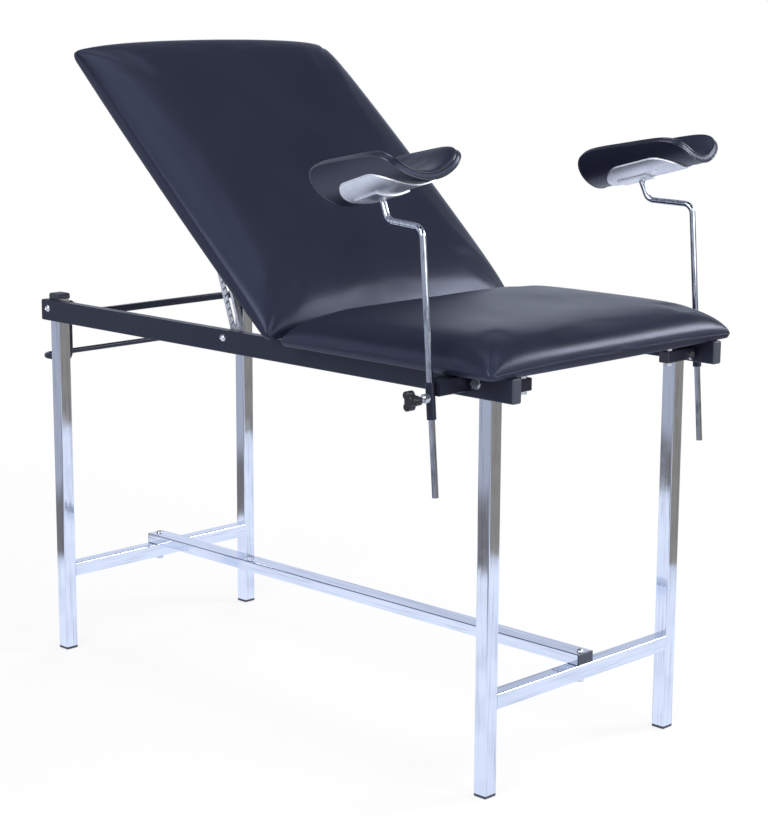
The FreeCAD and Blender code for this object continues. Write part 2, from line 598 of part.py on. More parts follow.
def seat():
    """Seat board on the rails and its crowned pad."""
    inset = "Sizes.board_inset"
    board = plywood_board("seat_board", f"Sizes.seat_length - 2 * {inset}",
                          f"2 * (Sizes.pad_half_width - {inset})")
    bolt_x = f"{STUB_X} - {SEAT_MIDDLE_X}"
    centres = [(bolt_x, f"{hand}Sizes.seat_bolt_y") for hand in ("", "-")]
    drill(board, "bolts", "XY_Plane", BOLT_HOLE, *centres)
    move(board, SEAT_MIDDLE_X, "0", "Sizes.rail_top")

    length, edge = size("seat_length"), size("board_inset")
    shape = cushion(length, size("pad_half_width"), size("seat_shoulder"), size("seat_crown"))
    shape = shape.cut(board_block(length - 2 * edge, size("pad_half_width") - edge, edge))
    solid_node("seat_pad", shape, at(seat_head_x, 0, rail_top))


def backrest():
    """Backrest board and pad, drawn flat about the hinge axis and turned to their angle."""
    inset = "Sizes.board_inset"
    board = plywood_board("backrest_board", f"{BACKREST_LENGTH} - 2 * {inset}",
                          f"2 * (Sizes.pad_half_width - {inset})")
    middle = -(size("hinge_gap") + backrest_length / 2)
    lift = size("leaf_thickness")
    screw_hole = "Sizes.screw_diameter"
    reach = f"Sizes.hinge_gap + {BACKREST_LENGTH} / 2 - Sizes.leaf_screw_reach"
    drill(board, "screws", "XY_Plane", screw_hole, *[
        (reach, f"{side} * (Sizes.hinge_y + {row} * Sizes.leaf_screw_y)")
        for side in (-1, 1) for row in (-1, 1)])
    board.Placement = at(origin_shift, 0, 0).multiply(backrest_place(middle, lift))
    board.setExpression("Placement.Rotation.Angle", "Sizes.backrest_angle")

    edge, half_width = size("board_inset"), size("pad_half_width")
    shape = cushion(backrest_length, half_width, size("backrest_shoulder"), size("backrest_crown"))
    shape = shape.cut(board_block(backrest_length - 2 * edge, half_width - edge, edge))
    solid_node("backrest_pad", shape, backrest_place(-backrest_reach, lift))


def backrest_place(along, lift):
    """Placement of a point of the flat backrest, given from the hinge axis, at the backrest's angle."""
    turn = FreeCAD.Rotation(Y_AXIS, size("backrest_angle"))
    return FreeCAD.Placement(V(hinge_x, 0, hinge_z) + turn.multVec(V(along, 0, lift)), turn)


def hinges():
    """Two strap hinges: leaves with rolled barrels, and their pins."""
    thick, width = size("leaf_thickness"), size("leaf_width")
    barrel, pin = size("barrel_diameter") / 2, size("hinge_pin_diameter") / 2
    gap, third = size("barrel_gap"), size("leaf_width") / 4

    def leaf(length, sign, spans):
        plate = Part.makeBox(length, width, thick, V(0 if sign > 0 else -length, -width / 2, 0))
        plate = plate.cut(Part.makeCylinder(barrel + gap, width, V(0, -width / 2, 0), Y_AXIS))
        for low, high in spans:
            tongue = Part.makeBox(2 * barrel, high - low, thick, V(0 if sign > 0 else -2 * barrel, low, 0))
            plate = plate.fuse(tongue).fuse(Part.makeCylinder(barrel, high - low, V(0, low, 0), Y_AXIS))
        return plate.cut(Part.makeCylinder(pin + size("running_gap") / 2, width, V(0, -width / 2, 0), Y_AXIS))

    outer = ((-width / 2, -third - gap), (third + gap, width / 2))
    fixed = leaf(size("fixed_leaf_length"), 1, outer)
    moving = leaf(size("moving_leaf_length"), -1, ((-third, third),))
    screw_x = -size("leaf_screw_reach")
    for y in (-size("leaf_screw_y"), size("leaf_screw_y")):
        moving = moving.cut(Part.makeCylinder(size("screw_diameter") / 2, thick, V(screw_x, y, 0)))
    stations = (-size("hinge_y"), size("hinge_y"))
    axis = V(hinge_x, 0, hinge_z)
    solid_node("hinge_fixed_leaves", Part.Compound([placed(fixed, at(axis.x, y, axis.z)) for y in stations]))
    rod = Part.makeCylinder(pin, width, V(0, -width / 2, 0), Y_AXIS)
    solid_node("hinge_pins", Part.Compound([placed(rod, at(axis.x, y, axis.z)) for y in stations]))
    turned = backrest_place(0, 0)
    solid_node("hinge_moving_leaves", Part.Compound([placed(moving, at(0, y, 0)) for y in stations]), turned)

    reach = thick + size("board_thickness") * 0.8
    screw = Part.makeCylinder(size("screw_diameter") / 2, reach)
    crown, head_height = size("screw_head") / 2, size("screw_head_height")
    head = Part.makeCone(crown * 0.6, crown, head_height, V(0, 0, -head_height))
    screw = screw.fuse(head).removeSplitter()
    solid_node("hinge_leaf_screws", Part.Compound(
        [placed(screw, at(screw_x, y + row, 0))
         for y in stations for row in (-size("leaf_screw_y"), size("leaf_screw_y"))]), turned)


def ratchet_strut(label, y_sign):
    """Channel strut pivoted on the rail, with a toothed slot for the backrest's pin.

    Drawn upright about its pivot: local Z runs up the strut, local -X is the head side.
    """
    body = new_body(label)
    inward = y_sign < 0
    length = "Sizes.strut_reach + Sizes.strut_tail"
    middle = "(Sizes.strut_reach - Sizes.strut_tail) / 2"
    web = new_sketch(body, "web", "XZ_Plane")
    rectangle(web, "Sizes.strut_width", length, "0", middle)
    pad(body, web, "Sizes.strut_sheet", backwards=inward)
    flanges = new_sketch(body, "flanges", "XZ_Plane")
    for hand in ("-1", "1"):
        edge = f"{hand} * (Sizes.strut_width - Sizes.strut_sheet) / 2"
        rectangle(flanges, "Sizes.strut_sheet", length, edge, middle)
    pad(body, flanges, "Sizes.strut_flange", backwards=inward)

    slot = new_sketch(body, "slot", "XZ_Plane")
    rectangle(slot, "Sizes.slot_width", "Sizes.slot_end - Sizes.slot_start", "Sizes.slot_shift",
              "(Sizes.slot_end + Sizes.slot_start) / 2")
    cut_through(body, slot)
    drill(body, "slot_ends", "XZ_Plane", "Sizes.slot_width",
          ("Sizes.slot_shift", "Sizes.slot_start"), ("Sizes.slot_shift", "Sizes.slot_end"))
    drill(body, "pivot", "XZ_Plane", "Sizes.bolt_diameter + Sizes.running_gap", ("0", "0"))

    notch = new_sketch(body, "notch", "XZ_Plane")
    mouth = "Sizes.slot_shift"
    tip = "Sizes.slot_shift - Sizes.slot_width / 2 - Sizes.notch_depth"
    base = "Sizes.slot_start + Sizes.notch_fall"
    polygon(notch, ((mouth, base), (mouth, f"{base} + Sizes.notch_width"),
                    (tip, f"{base} + Sizes.notch_width - Sizes.notch_fall"),
                    (tip, f"{base} - Sizes.notch_fall")))
    tooth = cut_through(body, notch)
    teeth = body.newObject("PartDesign::LinearPattern", f"{body.Name}_teeth")
    teeth.Originals = [tooth]
    teeth.Direction = (next(f for f in body.Origin.OriginFeatures if f.Role == "Z_Axis"), [""])
    teeth.setExpression("Length", "(Sizes.notch_count - 1) * Sizes.notch_pitch")
    teeth.setExpression("Occurrences", "Sizes.notch_count")
    body.Tip = teeth
    doc.recompute()
    move(body, STRUT_X, f"{y_sign} * ({LEG_OUTER} - Sizes.strut_offset)",
         "Sizes.rail_top - Sizes.strut_pivot_drop", "-Sizes.strut_angle")


def ratchet_pins():
    """Brackets under the backrest board and the pins that stand in the strut slots."""
    lean = math.radians(size("strut_angle"))
    reach = size("ratchet_reach")
    pin_world = V(strut_x - reach * math.sin(lean), 0, strut_z + reach * math.cos(lean))
    place = backrest_place(0, 0)
    pin = place.inverse().multVec(pin_world)
    thick, width, lift = size("pin_plate_thickness"), size("pin_plate_width"), size("leaf_thickness")
    plates, pins = [], []
    for _, y_sign in SIDES:
        inner = strut_face + size("pin_plate_gap")
        outer = inner + thick
        low_y = inner if y_sign > 0 else -outer
        plate = Part.makeBox(width, thick, lift - pin.z, V(pin.x - width / 2, low_y, pin.z))
        plate = plate.fuse(Part.makeCylinder(width / 2, thick, V(pin.x, low_y, pin.z), Y_AXIS))
        flange_y = inner if y_sign > 0 else -outer - size("pin_flange") + thick
        flange = Part.makeBox(width, size("pin_flange"), thick, V(pin.x - width / 2, flange_y, lift - thick))
        plates.append(plate.fuse(flange).removeSplitter())
        tip = strut_face + size("pin_end_gap")
        start_y = tip if y_sign > 0 else -inner
        pins.append(Part.makeCylinder(size("ratchet_pin_diameter") / 2, inner - tip,
                                      V(pin.x, start_y, pin.z), Y_AXIS))
    solid_node("ratchet_pin_brackets", Part.Compound(plates), place)
    solid_node("ratchet_pins", Part.Compound(pins), place)


def legrest_arm(side, y_sign):
    """Closed-ended arm welded to the rail, grooved at its end for the clamp sleeve."""
    body = doc.addObject("PartDesign::Body", f"{side}_arm_tube")
    reach = f"{CLAMP_Y} - Sizes.sleeve_diameter / 2 + Sizes.arm_bite - ({LEG_OUTER} + Sizes.rail_width)"
    outline = new_sketch(body, "outline", "XZ_Plane")
    rectangle(outline, "Sizes.arm_section", "Sizes.arm_section")
    block = pad(body, outline, reach)
    rounded = round_long_edges(body, block, "Sizes.tube_corner", Y_AXIS)
    bore = new_sketch(body, "bore", "XZ_Plane")
    inside = "Sizes.arm_section - 2 * Sizes.arm_wall"
    rectangle(bore, inside, inside)
    hollow = body.newObject("PartDesign::Pocket", f"{side}_arm_hollow")
    hollow.Profile = bore
    hollow.Reversed = True
    hollow.setExpression("Length", f"{reach} - Sizes.arm_end_wall")
    doc.recompute()
    if hollow.Shape.Volume > 0.7 * rounded.Shape.Volume:
        raise RuntimeError(f"{side} arm was not hollowed")
    move(body, CLAMP_X, f"{y_sign} * ({LEG_OUTER} + Sizes.rail_width)",
         "Sizes.rail_top - Sizes.arm_top_drop - Sizes.arm_section / 2", "180" if y_sign > 0 else None, Z_AXIS)
    groove = doc.addObject("Part::Cylinder", f"{side}_arm_groove")
    groove.setExpression("Radius", "Sizes.sleeve_diameter / 2 + Sizes.weld_gap")
    groove.setExpression("Height", "Sizes.sleeve_length * 2")
    below = clamp_place(y_sign).multiply(at(0, 0, -size("sleeve_length")))
    groove.Placement = at(origin_shift, 0, 0).multiply(below)
    arm = doc.addObject("Part::Cut", f"{side}_legrest_arm")
    arm.Base, arm.Tool = body, groove
    keep(arm, f"{side}_legrest_arm")


def clamp_place(y_sign):
    """Frame of one clamp: origin in the sleeve, Z along the leaning rod."""
    lean = FreeCAD.Rotation(Y_AXIS, -size("rod_angle"))
    return FreeCAD.Placement(V(clamp_x, y_sign * clamp_y, clamp_z), lean)


def legrest_place(y_sign):
    """Frame of one legrest: its clamp's, turned inwards and slid up on the near side, down on the far."""
    turn = FreeCAD.Rotation(Z_AXIS, y_sign * size("legrest_swivel_angle"))
    return clamp_place(y_sign).multiply(FreeCAD.Placement(V(0, 0, -y_sign * size("legrest_lift")), turn))


def clamp_nuts():
    """Nuts welded to the outside of the sleeves for the clamp studs."""
    bore = size("stud_diameter") + size("running_gap")
    shape = nut(size("boss_length"), bore)
    nuts = []
    for _, y_sign in SIDES:
        offset = y_sign * (size("sleeve_diameter") / 2 + size("weld_gap"))
        turned = at(0, offset, size("stud_height"), Z_AXIS, V(0, y_sign, 0))
        nuts.append(placed(shape, clamp_place(y_sign).multiply(turned)))
    solid_node("clamp_nuts", Part.Compound(nuts))


def clamp(side, y_sign):
    """Sleeve, liner rings, clamp stud and three-lobed knob of one legrest."""
    place = clamp_place(y_sign)
    outward = V(0, y_sign, 0)
    outer = size("sleeve_diameter") / 2
    bore = outer - size("sleeve_wall")
    half = size("sleeve_length") / 2
    stud_z, stud = size("stud_height"), size("stud_diameter") / 2
    running = size("running_gap") / 2

    low_end = V(0, 0, -half)
    tube = Part.makeCylinder(outer, 2 * half, low_end).cut(Part.makeCylinder(bore, 2 * half, low_end))
    hole = Part.makeCylinder(stud + size("bolt_hole_gap") / 2, 2 * outer, V(0, 0, stud_z), outward)
    solid_node(f"{side}_clamp_sleeve", tube.cut(hole), place)

    rod_radius = size("rod_diameter") / 2
    liner_outer, liner_bore = bore - running, rod_radius + running
    rings = []
    for low in (-half + size("liner_end"), half - size("liner_end") - size("liner_length")):
        rings.append(placed(ring(2 * liner_outer, 2 * liner_bore, size("liner_length")), at(0, 0, low)))
    solid_node(f"{side}_sleeve_liners", Part.Compound(rings), place)

    tip = rod_radius + size("seat_gap")
    knob_from = outer + size("knob_reach")
    rod = Part.makeCylinder(stud, knob_from + size("knob_hub_length") - tip)
    stud_at = at(0, y_sign * tip, stud_z, Z_AXIS, outward)
    solid_node(f"{side}_clamp_stud", placed(rod, stud_at), place)

    hub_length, thick = size("knob_hub_length"), size("knob_thickness")
    hub = Part.makeCylinder(size("knob_hub"), thick, V(0, 0, hub_length))
    for centre in on_circle(size("knob_lobe_reach"), 3):
        hub = hub.fuse(Part.makeCylinder(size("knob_lobe"), thick, centre + V(0, 0, hub_length)))
    hub = hub.removeSplitter()
    rim = [e for e in hub.Edges if e.BoundBox.ZMin > hub_length + thick - 1e-6]
    hub = hub.makeChamfer(size("knob_rim"), rim)
    hub = hub.fuse(Part.makeCylinder(stud * 1.7, hub_length)).removeSplitter()
    hub = hub.cut(Part.makeCylinder(stud, hub_length))
    knob_at = at(0, y_sign * knob_from, stud_z, Z_AXIS, outward)
    solid_node(f"{side}_clamp_knob", placed(hub, knob_at), place)


def legrest(side, y_sign):
    """Bent rod, trough pad, underside plate and strap of one legrest."""
    place = legrest_place(y_sign)
    climb, neck = math.radians(size("rod_run_angle")), math.radians(size("rod_neck_angle"))
    corner = V(0, 0, size("rod_rise"))
    knee = corner + V(-math.cos(climb), 0, math.sin(climb)) * size("rod_run")
    top = knee + V(-math.sin(neck), 0, math.cos(neck)) * size("rod_neck")
    beyond = knee + V(-math.sin(neck), 0, math.cos(neck)) * (size("rod_neck") + size("rod_diameter"))
    path = bent_path([V(0, 0, -size("rod_below")), corner, knee, beyond], size("rod_bend"))
    bar = round_bar(path, size("rod_diameter"))

    # The trough's frame beside the rod: X along the trough, Z out of its bottom line, origin on that line
    radius, gap = size("trough_radius"), size("seat_gap")
    tilt = FreeCAD.Rotation(Y_AXIS, size("rod_angle") - size("trough_angle"))
    skin = gap + size("plate_thickness") + size("weld_gap")
    under = skin + size("strap_thickness")
    saddle = FreeCAD.Placement(top + tilt.multVec(V(size("trough_offset"), 0, under)), tilt)
    trough = place.multiply(saddle)

    reach = size("trough_length")
    drum = Part.makeCylinder(radius + under, 2 * reach, V(-reach, 0, radius), X_AXIS)
    drum.Placement = saddle.multiply(drum.Placement)
    solid_node(f"{side}_legrest_rod", bar.cut(drum), place)

    solid_node(f"{side}_legrest_pad", trough_pad(), trough)
    leaf = shell_piece(radius + gap, size("plate_thickness"), size("plate_length"))
    leaf = leaf.common(rounded_block(size("plate_length"), size("plate_width"), size("plate_corner")))
    solid_node(f"{side}_legrest_plate", leaf, trough)
    strap = shell_piece(radius + skin, size("strap_thickness"), size("strap_length"))
    band = Part.makeBox(size("strap_length"), size("strap_width"), radius,
                        V(-size("strap_length") / 2, -size("strap_width") / 2, -radius / 2))
    strap = strap.common(band)
    strap.translate(V(-size("trough_offset"), 0, 0))
    solid_node(f"{side}_legrest_strap", strap, trough)


def shell_piece(inner, thickness, length):
    """Bottom half of a thin pipe along X, whose centre line is at the trough's radius."""
    centre = V(-length / 2, 0, size("trough_radius"))
    pipe = Part.makeCylinder(inner + thickness, length, centre, X_AXIS)
    pipe = pipe.cut(Part.makeCylinder(inner, length, centre, X_AXIS))
    lower = Part.makeBox(length, 4 * inner, 2 * inner, centre - V(0, 2 * inner, 2 * inner))
    return pipe.common(lower)


def rounded_block(length, width, corner):
    """Upright block with rounded corners, the outline of the underside plate seen from below."""
    tall = size("trough_radius")
    block = Part.makeBox(length, width, tall, V(-length / 2, -width / 2, -tall / 2))
    upright = [edge for edge in block.Edges if abs(edge.tangentAt(edge.FirstParameter).z) > 0.9]
    return block.makeFillet(corner, upright)


def trough_pad():
    """Padded trough with lower walls at its foot end, lofted through ring sectors that shrink at the ends."""
    radius, thick = size("trough_radius"), size("trough_thickness")
    head, foot = size("trough_head_angle"), size("trough_foot_angle")
    middle = radius - thick / 2
    end_stations = ((1.0, 0.50, 0.40), (0.96, 0.70, 0.78), (0.87, 0.86, 0.97), (0.7, 0.95, 1.0),
                    (0.4, 1.0, 1.0))
    stations = [(-along, *shares) for along, *shares in end_stations]
    stations += [(0.0, 1.0, 1.0), *reversed(end_stations)]
    wires = []
    for along, span_share, thick_share in stations:
        x = along * size("trough_length") / 2
        half = thick * thick_share / 2

        def on_ring(distance, degrees):
            turn = math.radians(degrees)
            return V(x, distance * math.sin(turn), radius - distance * math.cos(turn))

        edge = (head + (foot - head) * (along + 1) / 2) * span_share
        bulge = math.degrees(half * 0.8 / middle)
        out_l, out_m, out_r = (on_ring(middle + half, a) for a in (-edge, 0, edge))
        in_r, in_m, in_l = (on_ring(middle - half, a) for a in (edge, 0, -edge))
        wires.append(Part.Wire([
            Part.Arc(out_l, out_m, out_r).toShape(),
            Part.Arc(out_r, on_ring(middle, edge + bulge), in_r).toShape(),
            Part.Arc(in_r, in_m, in_l).toShape(),
            Part.Arc(in_l, on_ring(middle, -edge - bulge), out_l).toShape(),
        ]))
    return Part.makeLoft(wires, True, False)


frame_tubes()
frame_plugs()
fasteners()
paper_roll_rod()
seat()
backrest()
hinges()
ratchet_pins()
clamp_nuts()
for name, sign in SIDES:
    ratchet_strut(f"{name}_ratchet_strut", sign)
    legrest_arm(name, sign)
    clamp(name, sign)
    legrest(name, sign)
doc.recompute()

for item in doc.Objects:
    if {"Invalid", "Error"} & set(item.State):
        raise RuntimeError(f"{item.Label} did not build: {item.State}")
for node in nodes:
    if node.Shape.isNull() or not node.Shape.isValid():
        raise RuntimeError(f"{node.Label} has no valid shape")

os.makedirs("parts", exist_ok=True)
for node in nodes:
    node.Shape.exportStep(f"parts/{node.Label}.step")
print(f"{len(nodes)} sub-parts written")
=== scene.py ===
import json
import logging
import math
from dataclasses import dataclass, field, replace
from enum import Enum

import bpy
import numpy as np
from mathutils import Matrix


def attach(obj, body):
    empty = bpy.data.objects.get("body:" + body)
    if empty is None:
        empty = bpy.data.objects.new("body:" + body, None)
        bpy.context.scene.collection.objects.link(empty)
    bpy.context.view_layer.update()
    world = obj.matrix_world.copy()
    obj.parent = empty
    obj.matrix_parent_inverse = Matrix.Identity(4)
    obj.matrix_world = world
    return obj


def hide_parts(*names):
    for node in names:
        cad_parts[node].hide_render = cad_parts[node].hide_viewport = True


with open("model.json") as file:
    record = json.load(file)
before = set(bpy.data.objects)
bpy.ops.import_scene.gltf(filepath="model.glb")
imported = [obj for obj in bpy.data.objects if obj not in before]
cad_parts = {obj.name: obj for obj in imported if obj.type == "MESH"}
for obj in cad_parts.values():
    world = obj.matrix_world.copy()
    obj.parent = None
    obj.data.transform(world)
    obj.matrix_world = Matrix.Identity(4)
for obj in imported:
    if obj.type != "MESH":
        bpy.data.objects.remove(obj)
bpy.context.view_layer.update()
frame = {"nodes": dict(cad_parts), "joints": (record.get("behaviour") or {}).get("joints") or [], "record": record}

LOG = logging.getLogger("examination_table")
MM = 0.001
TINY = 1e-9
BACKREST_ANGLE = 41.8

Socket = bpy.types.NodeSocket
Colour = tuple[float, float, float]
Point = tuple[float, float, float]


class Side(Enum):
    """The two long sides of the table, by the sign of Y."""

    NEAR = -1
    FAR = 1

    @property
    def word(self) -> str:
        """The side's name as it stands in the node names."""
        return self.name.lower()


class Slot(Enum):
    """Material slots of the record."""

    UPHOLSTERY = "upholstery"
    PLYWOOD = "plywood"
    BLACK_PLASTIC = "black_plastic"
    KNOB_PLASTIC = "knob_plastic"
    LINER_PLASTIC = "liner_plastic"
    CHROME_TUBE = "chrome_tube"
    CHROME_ROD = "chrome_rod"
    BRUSHED_PLATE = "brushed_plate"
    BLACK_PAINT = "black_paint"
    ZINC_STEEL = "zinc_steel"
    FASTENER_STEEL = "fastener_steel"


class ShaderTree:
    """A material's node tree, with short calls for the nodes that the finishes share."""

    def __init__(self, name: str) -> None:
        """Starts an empty tree that ends in one principled shader.

        Args:
            name: Name of the new material.
        """
        self.material = bpy.data.materials.new(name)
        self.material.use_nodes = True
        self.tree = self.material.node_tree
        self.tree.nodes.clear()
        output = self.tree.nodes.new("ShaderNodeOutputMaterial")
        self.shader = self.tree.nodes.new("ShaderNodeBsdfPrincipled")
        self.tree.links.new(self.shader.outputs["BSDF"], output.inputs["Surface"])
        self.coords = self.tree.nodes.new("ShaderNodeTexCoord")

    def put(self, node: bpy.types.Node, socket: str | int, value: object) -> None:
        """Links a socket, or sets its constant.

        Args:
            node: Node that receives the value.
            socket: Name or index of its input.
            value: An output socket or a constant.
        """
        if isinstance(value, Socket):
            self.tree.links.new(value, node.inputs[socket])
        else:
            node.inputs[socket].default_value = value

    def surface(self, **values: object) -> None:
        """Sets inputs of the principled shader, with underscores for spaces in their names."""
        for name, value in values.items():
            self.put(self.shader, name.replace("_", " "), value)

    def stretched(self, scale: Point) -> Socket:
        """Object coordinates, scaled along each axis.

        Args:
            scale: Factors for X, Y and Z.

        Returns:
            The mapped vector.
        """
        mapping = self.tree.nodes.new("ShaderNodeMapping")
        self.put(mapping, "Vector", self.coords.outputs["Object"])
        self.put(mapping, "Scale", scale)
        return mapping.outputs["Vector"]

    def noise(self, vector: Socket, scale: float, detail: float = 3.0) -> Socket:
        """Fractal noise from 0 to 1.

        Args:
            vector: Where to read the noise.
            scale: Cells per metre.
            detail: Number of octaves.

        Returns:
            The noise value.
        """
        node = self.tree.nodes.new("ShaderNodeTexNoise")
        self.put(node, "Vector", vector)
        self.put(node, "Scale", scale)
        self.put(node, "Detail", detail)
        return node.outputs["Fac"]

    def cells(self, vector: Socket, scale: float) -> Socket:
        """Distance to the nearest cell centre of a random cell pattern.

        Args:
            vector: Where to read the pattern.
            scale: Cells per metre.

        Returns:
            The distance value.
        """
        node = self.tree.nodes.new("ShaderNodeTexVoronoi")
        self.put(node, "Vector", vector)
        self.put(node, "Scale", scale)
        return node.outputs["Distance"]

    def spread(self, value: Socket, low: float, high: float,
               start: float = 0.3, end: float = 0.7) -> Socket:
        """Maps a value from one range to another, clamped.

        Args:
            value: Value to map.
            low: Result at the start of the range.
            high: Result at the end of the range.
            start: Start of the source range.
            end: End of the source range.

        Returns:
            The mapped value.
        """
        node = self.tree.nodes.new("ShaderNodeMapRange")
        self.put(node, "Value", value)
        self.put(node, "From Min", start)
        self.put(node, "From Max", end)
        self.put(node, "To Min", low)
        self.put(node, "To Max", high)
        return node.outputs["Result"]

    def blend(self, share: Socket, first: object, second: object) -> Socket:
        """Mixes two colours.

        Args:
            share: 0 for the first colour, 1 for the second.
            first: Colour or socket.
            second: Colour or socket.

        Returns:
            The mixed colour.
        """
        node = self.tree.nodes.new("ShaderNodeMix")
        node.data_type = "RGBA"
        self.put(node, 0, share)
        self.put(node, 6, first if isinstance(first, Socket) else (*first, 1.0))
        self.put(node, 7, second if isinstance(second, Socket) else (*second, 1.0))
        return node.outputs[2]

    def math(self, operation: str, first: object, second: object) -> Socket:
        """One arithmetic step on two values, by the operation's name."""
        node = self.tree.nodes.new("ShaderNodeMath")
        node.operation = operation
        self.put(node, 0, first)
        self.put(node, 1, second)
        return node.outputs[0]

    def bump(self, height: Socket, strength: float, depth: float,
             under: Socket | None = None) -> Socket:
        """Turns a height into a normal.

        Args:
            height: Height from 0 to 1.
            strength: Share of the effect.
            depth: Real height of 1, in metres.
            under: Normal that this one is laid over.

        Returns:
            The normal.
        """
        node = self.tree.nodes.new("ShaderNodeBump")
        self.put(node, "Height", height)
        self.put(node, "Strength", strength)
        self.put(node, "Distance", depth)
        if under is not None:
            self.put(node, "Normal", under)
        return node.outputs["Normal"]


@dataclass(frozen=True)
class Leatherette:
    """Smooth dark navy leatherette with a fine pressed grain and a soft sheen."""

    name: str = "leatherette"
    deep: Colour = (0.0110, 0.0122, 0.0240)
    pale: Colour = (0.0134, 0.0150, 0.0286)
    sheen: Colour = (0.60, 0.68, 1.0)
    gloss: tuple[float, float] = (0.32, 0.38)
    cloud_per_metre: float = 9.0
    grain_per_metre: float = 900.0
    grain_strength: float = 0.35
    grain_depth: float = 0.16 * MM
    fine_share: float = 1.7
    crease_per_metre: float = 55.0
    crease_strength: float = 0.06
    crease_depth: float = 0.8 * MM
    specular: float = 0.52

    def build(self) -> bpy.types.Material:
        """Cell grain and fine noise as bump; slow noise in colour and gloss."""
        tree = ShaderTree(self.name)
        place = tree.coords.outputs["Object"]
        slow = tree.noise(place, self.cloud_per_metre, 4.0)
        pores = tree.cells(place, self.grain_per_metre)
        fine = tree.noise(place, self.grain_per_metre * self.fine_share, 2.0)
        creases = tree.noise(place, self.crease_per_metre, 3.0)
        grain = tree.bump(tree.math("ADD", pores, fine), self.grain_strength, self.grain_depth)
        tree.surface(
            Base_Color=tree.blend(slow, self.deep, self.pale),
            Roughness=tree.spread(slow, *self.gloss),
            Normal=tree.bump(creases, self.crease_strength, self.crease_depth, grain),
            Specular_IOR_Level=self.specular, Specular_Tint=(*self.sheen, 1.0))
        return tree.material


@dataclass(frozen=True)
class Chrome:
    """Bright chrome plate over drawn tube, a little wavy and faintly wiped, with painted dark reflection streaks
    in its colour.
    """

    name: str
    colour: Colour = (0.83, 0.87, 0.95)
    # colour of the painted dark reflection streaks along the tube
    worn: Colour = (0.60, 0.63, 0.70)
    gloss: tuple[float, float] = (0.04, 0.11)
    axis: int = 2
    waves: tuple[float, float] = (70.0, 4.0)
    streaks: tuple[float, float] = (260.0, 9.0)
    # range of the streak noise over which the painted reflection streaks fade in
    wear: tuple[float, float] = (0.52, 0.74)
    wiped_per_metre: float = 42.0
    wave_strength: float = 0.25
    wave_depth: float = 1.2 * MM

    def drawn(self, tree: ShaderTree, across: float, along: float) -> Socket:
        """Object coordinates, stretched along the tube's axis: cells per metre across it and along it."""
        scale = [across] * 3
        scale[self.axis] = along
        return tree.stretched(tuple(scale))

    def build(self) -> bpy.types.Material:
        """Stretched noise bends the reflections and paints dark reflection streaks into the colour along the tube;
        fine noise varies the gloss.
        """
        tree = ShaderTree(self.name)
        wave = tree.noise(self.drawn(tree, *self.waves), 1.0, 2.0)
        streak = tree.noise(self.drawn(tree, *self.streaks), 1.0, 4.0)
        wiped = tree.noise(tree.coords.outputs["Object"], self.wiped_per_metre, 5.0)
        tree.surface(
            # painted reflection: bands of the darker colour along the tube stand in for dark surroundings it
            # mirrors
            Base_Color=tree.blend(tree.spread(streak, 0.0, 1.0, *self.wear), self.colour, self.worn),
            Metallic=1.0,
            Roughness=tree.spread(wiped, *self.gloss),
            Normal=tree.bump(wave, self.wave_strength, self.wave_depth))
        return tree.material


@dataclass(frozen=True)
class PowderCoat:
    """Black satin powder coat with its fine orange peel."""

    name: str = "black_powder_coat"
    colour: Colour = (0.0088, 0.0104, 0.0210)
    dusty: Colour = (0.0138, 0.0160, 0.0290)
    sheen: Colour = (0.76, 0.80, 1.0)
    gloss: tuple[float, float] = (0.30, 0.40)
    dust_per_metre: float = 14.0
    peel_per_metre: float = 950.0
    peel_strength: float = 0.30
    peel_depth: float = 0.12 * MM
    specular: float = 0.5

    def build(self) -> bpy.types.Material:
        """Noise of under a millimetre as bump; slow noise in colour and gloss."""
        tree = ShaderTree(self.name)
        place = tree.coords.outputs["Object"]
        slow = tree.noise(place, self.dust_per_metre, 5.0)
        peel = tree.noise(place, self.peel_per_metre, 2.0)
        tree.surface(
            Base_Color=tree.blend(slow, self.colour, self.dusty),
            Roughness=tree.spread(slow, *self.gloss),
            Normal=tree.bump(peel, self.peel_strength, self.peel_depth),
            Specular_IOR_Level=self.specular, Specular_Tint=(*self.sheen, 1.0))
        return tree.material


@dataclass(frozen=True)
class BrushedSteel:
    """Steel sheet brushed along its length."""

    name: str = "brushed_plate_steel"
    dark: Colour = (0.72, 0.74, 0.79)
    light: Colour = (0.94, 0.95, 0.98)
    gloss: tuple[float, float] = (0.40, 0.56)
    brush: Point = (14.0, 900.0, 900.0)
    cloud_per_metre: float = 30.0
    worked: tuple[float, float] = (0.1, 0.5)
    groove_strength: float = 0.25
    groove_depth: float = 0.08 * MM
    anisotropy: float = 0.5

    def build(self) -> bpy.types.Material:
        """Noise stretched along X makes the brush lines; its product with slow noise sets the gloss."""
        tree = ShaderTree(self.name)
        lines = tree.noise(tree.stretched(self.brush), 1.0, 3.0)
        cloud = tree.noise(tree.coords.outputs["Object"], self.cloud_per_metre, 3.0)
        tree.surface(
            Base_Color=tree.blend(tree.spread(lines, 0.0, 1.0), self.dark, self.light),
            Metallic=1.0,
            Roughness=tree.spread(tree.math("MULTIPLY", lines, cloud), *self.gloss, *self.worked),
            Normal=tree.bump(lines, self.groove_strength, self.groove_depth),
            Anisotropic=self.anisotropy)
        return tree.material


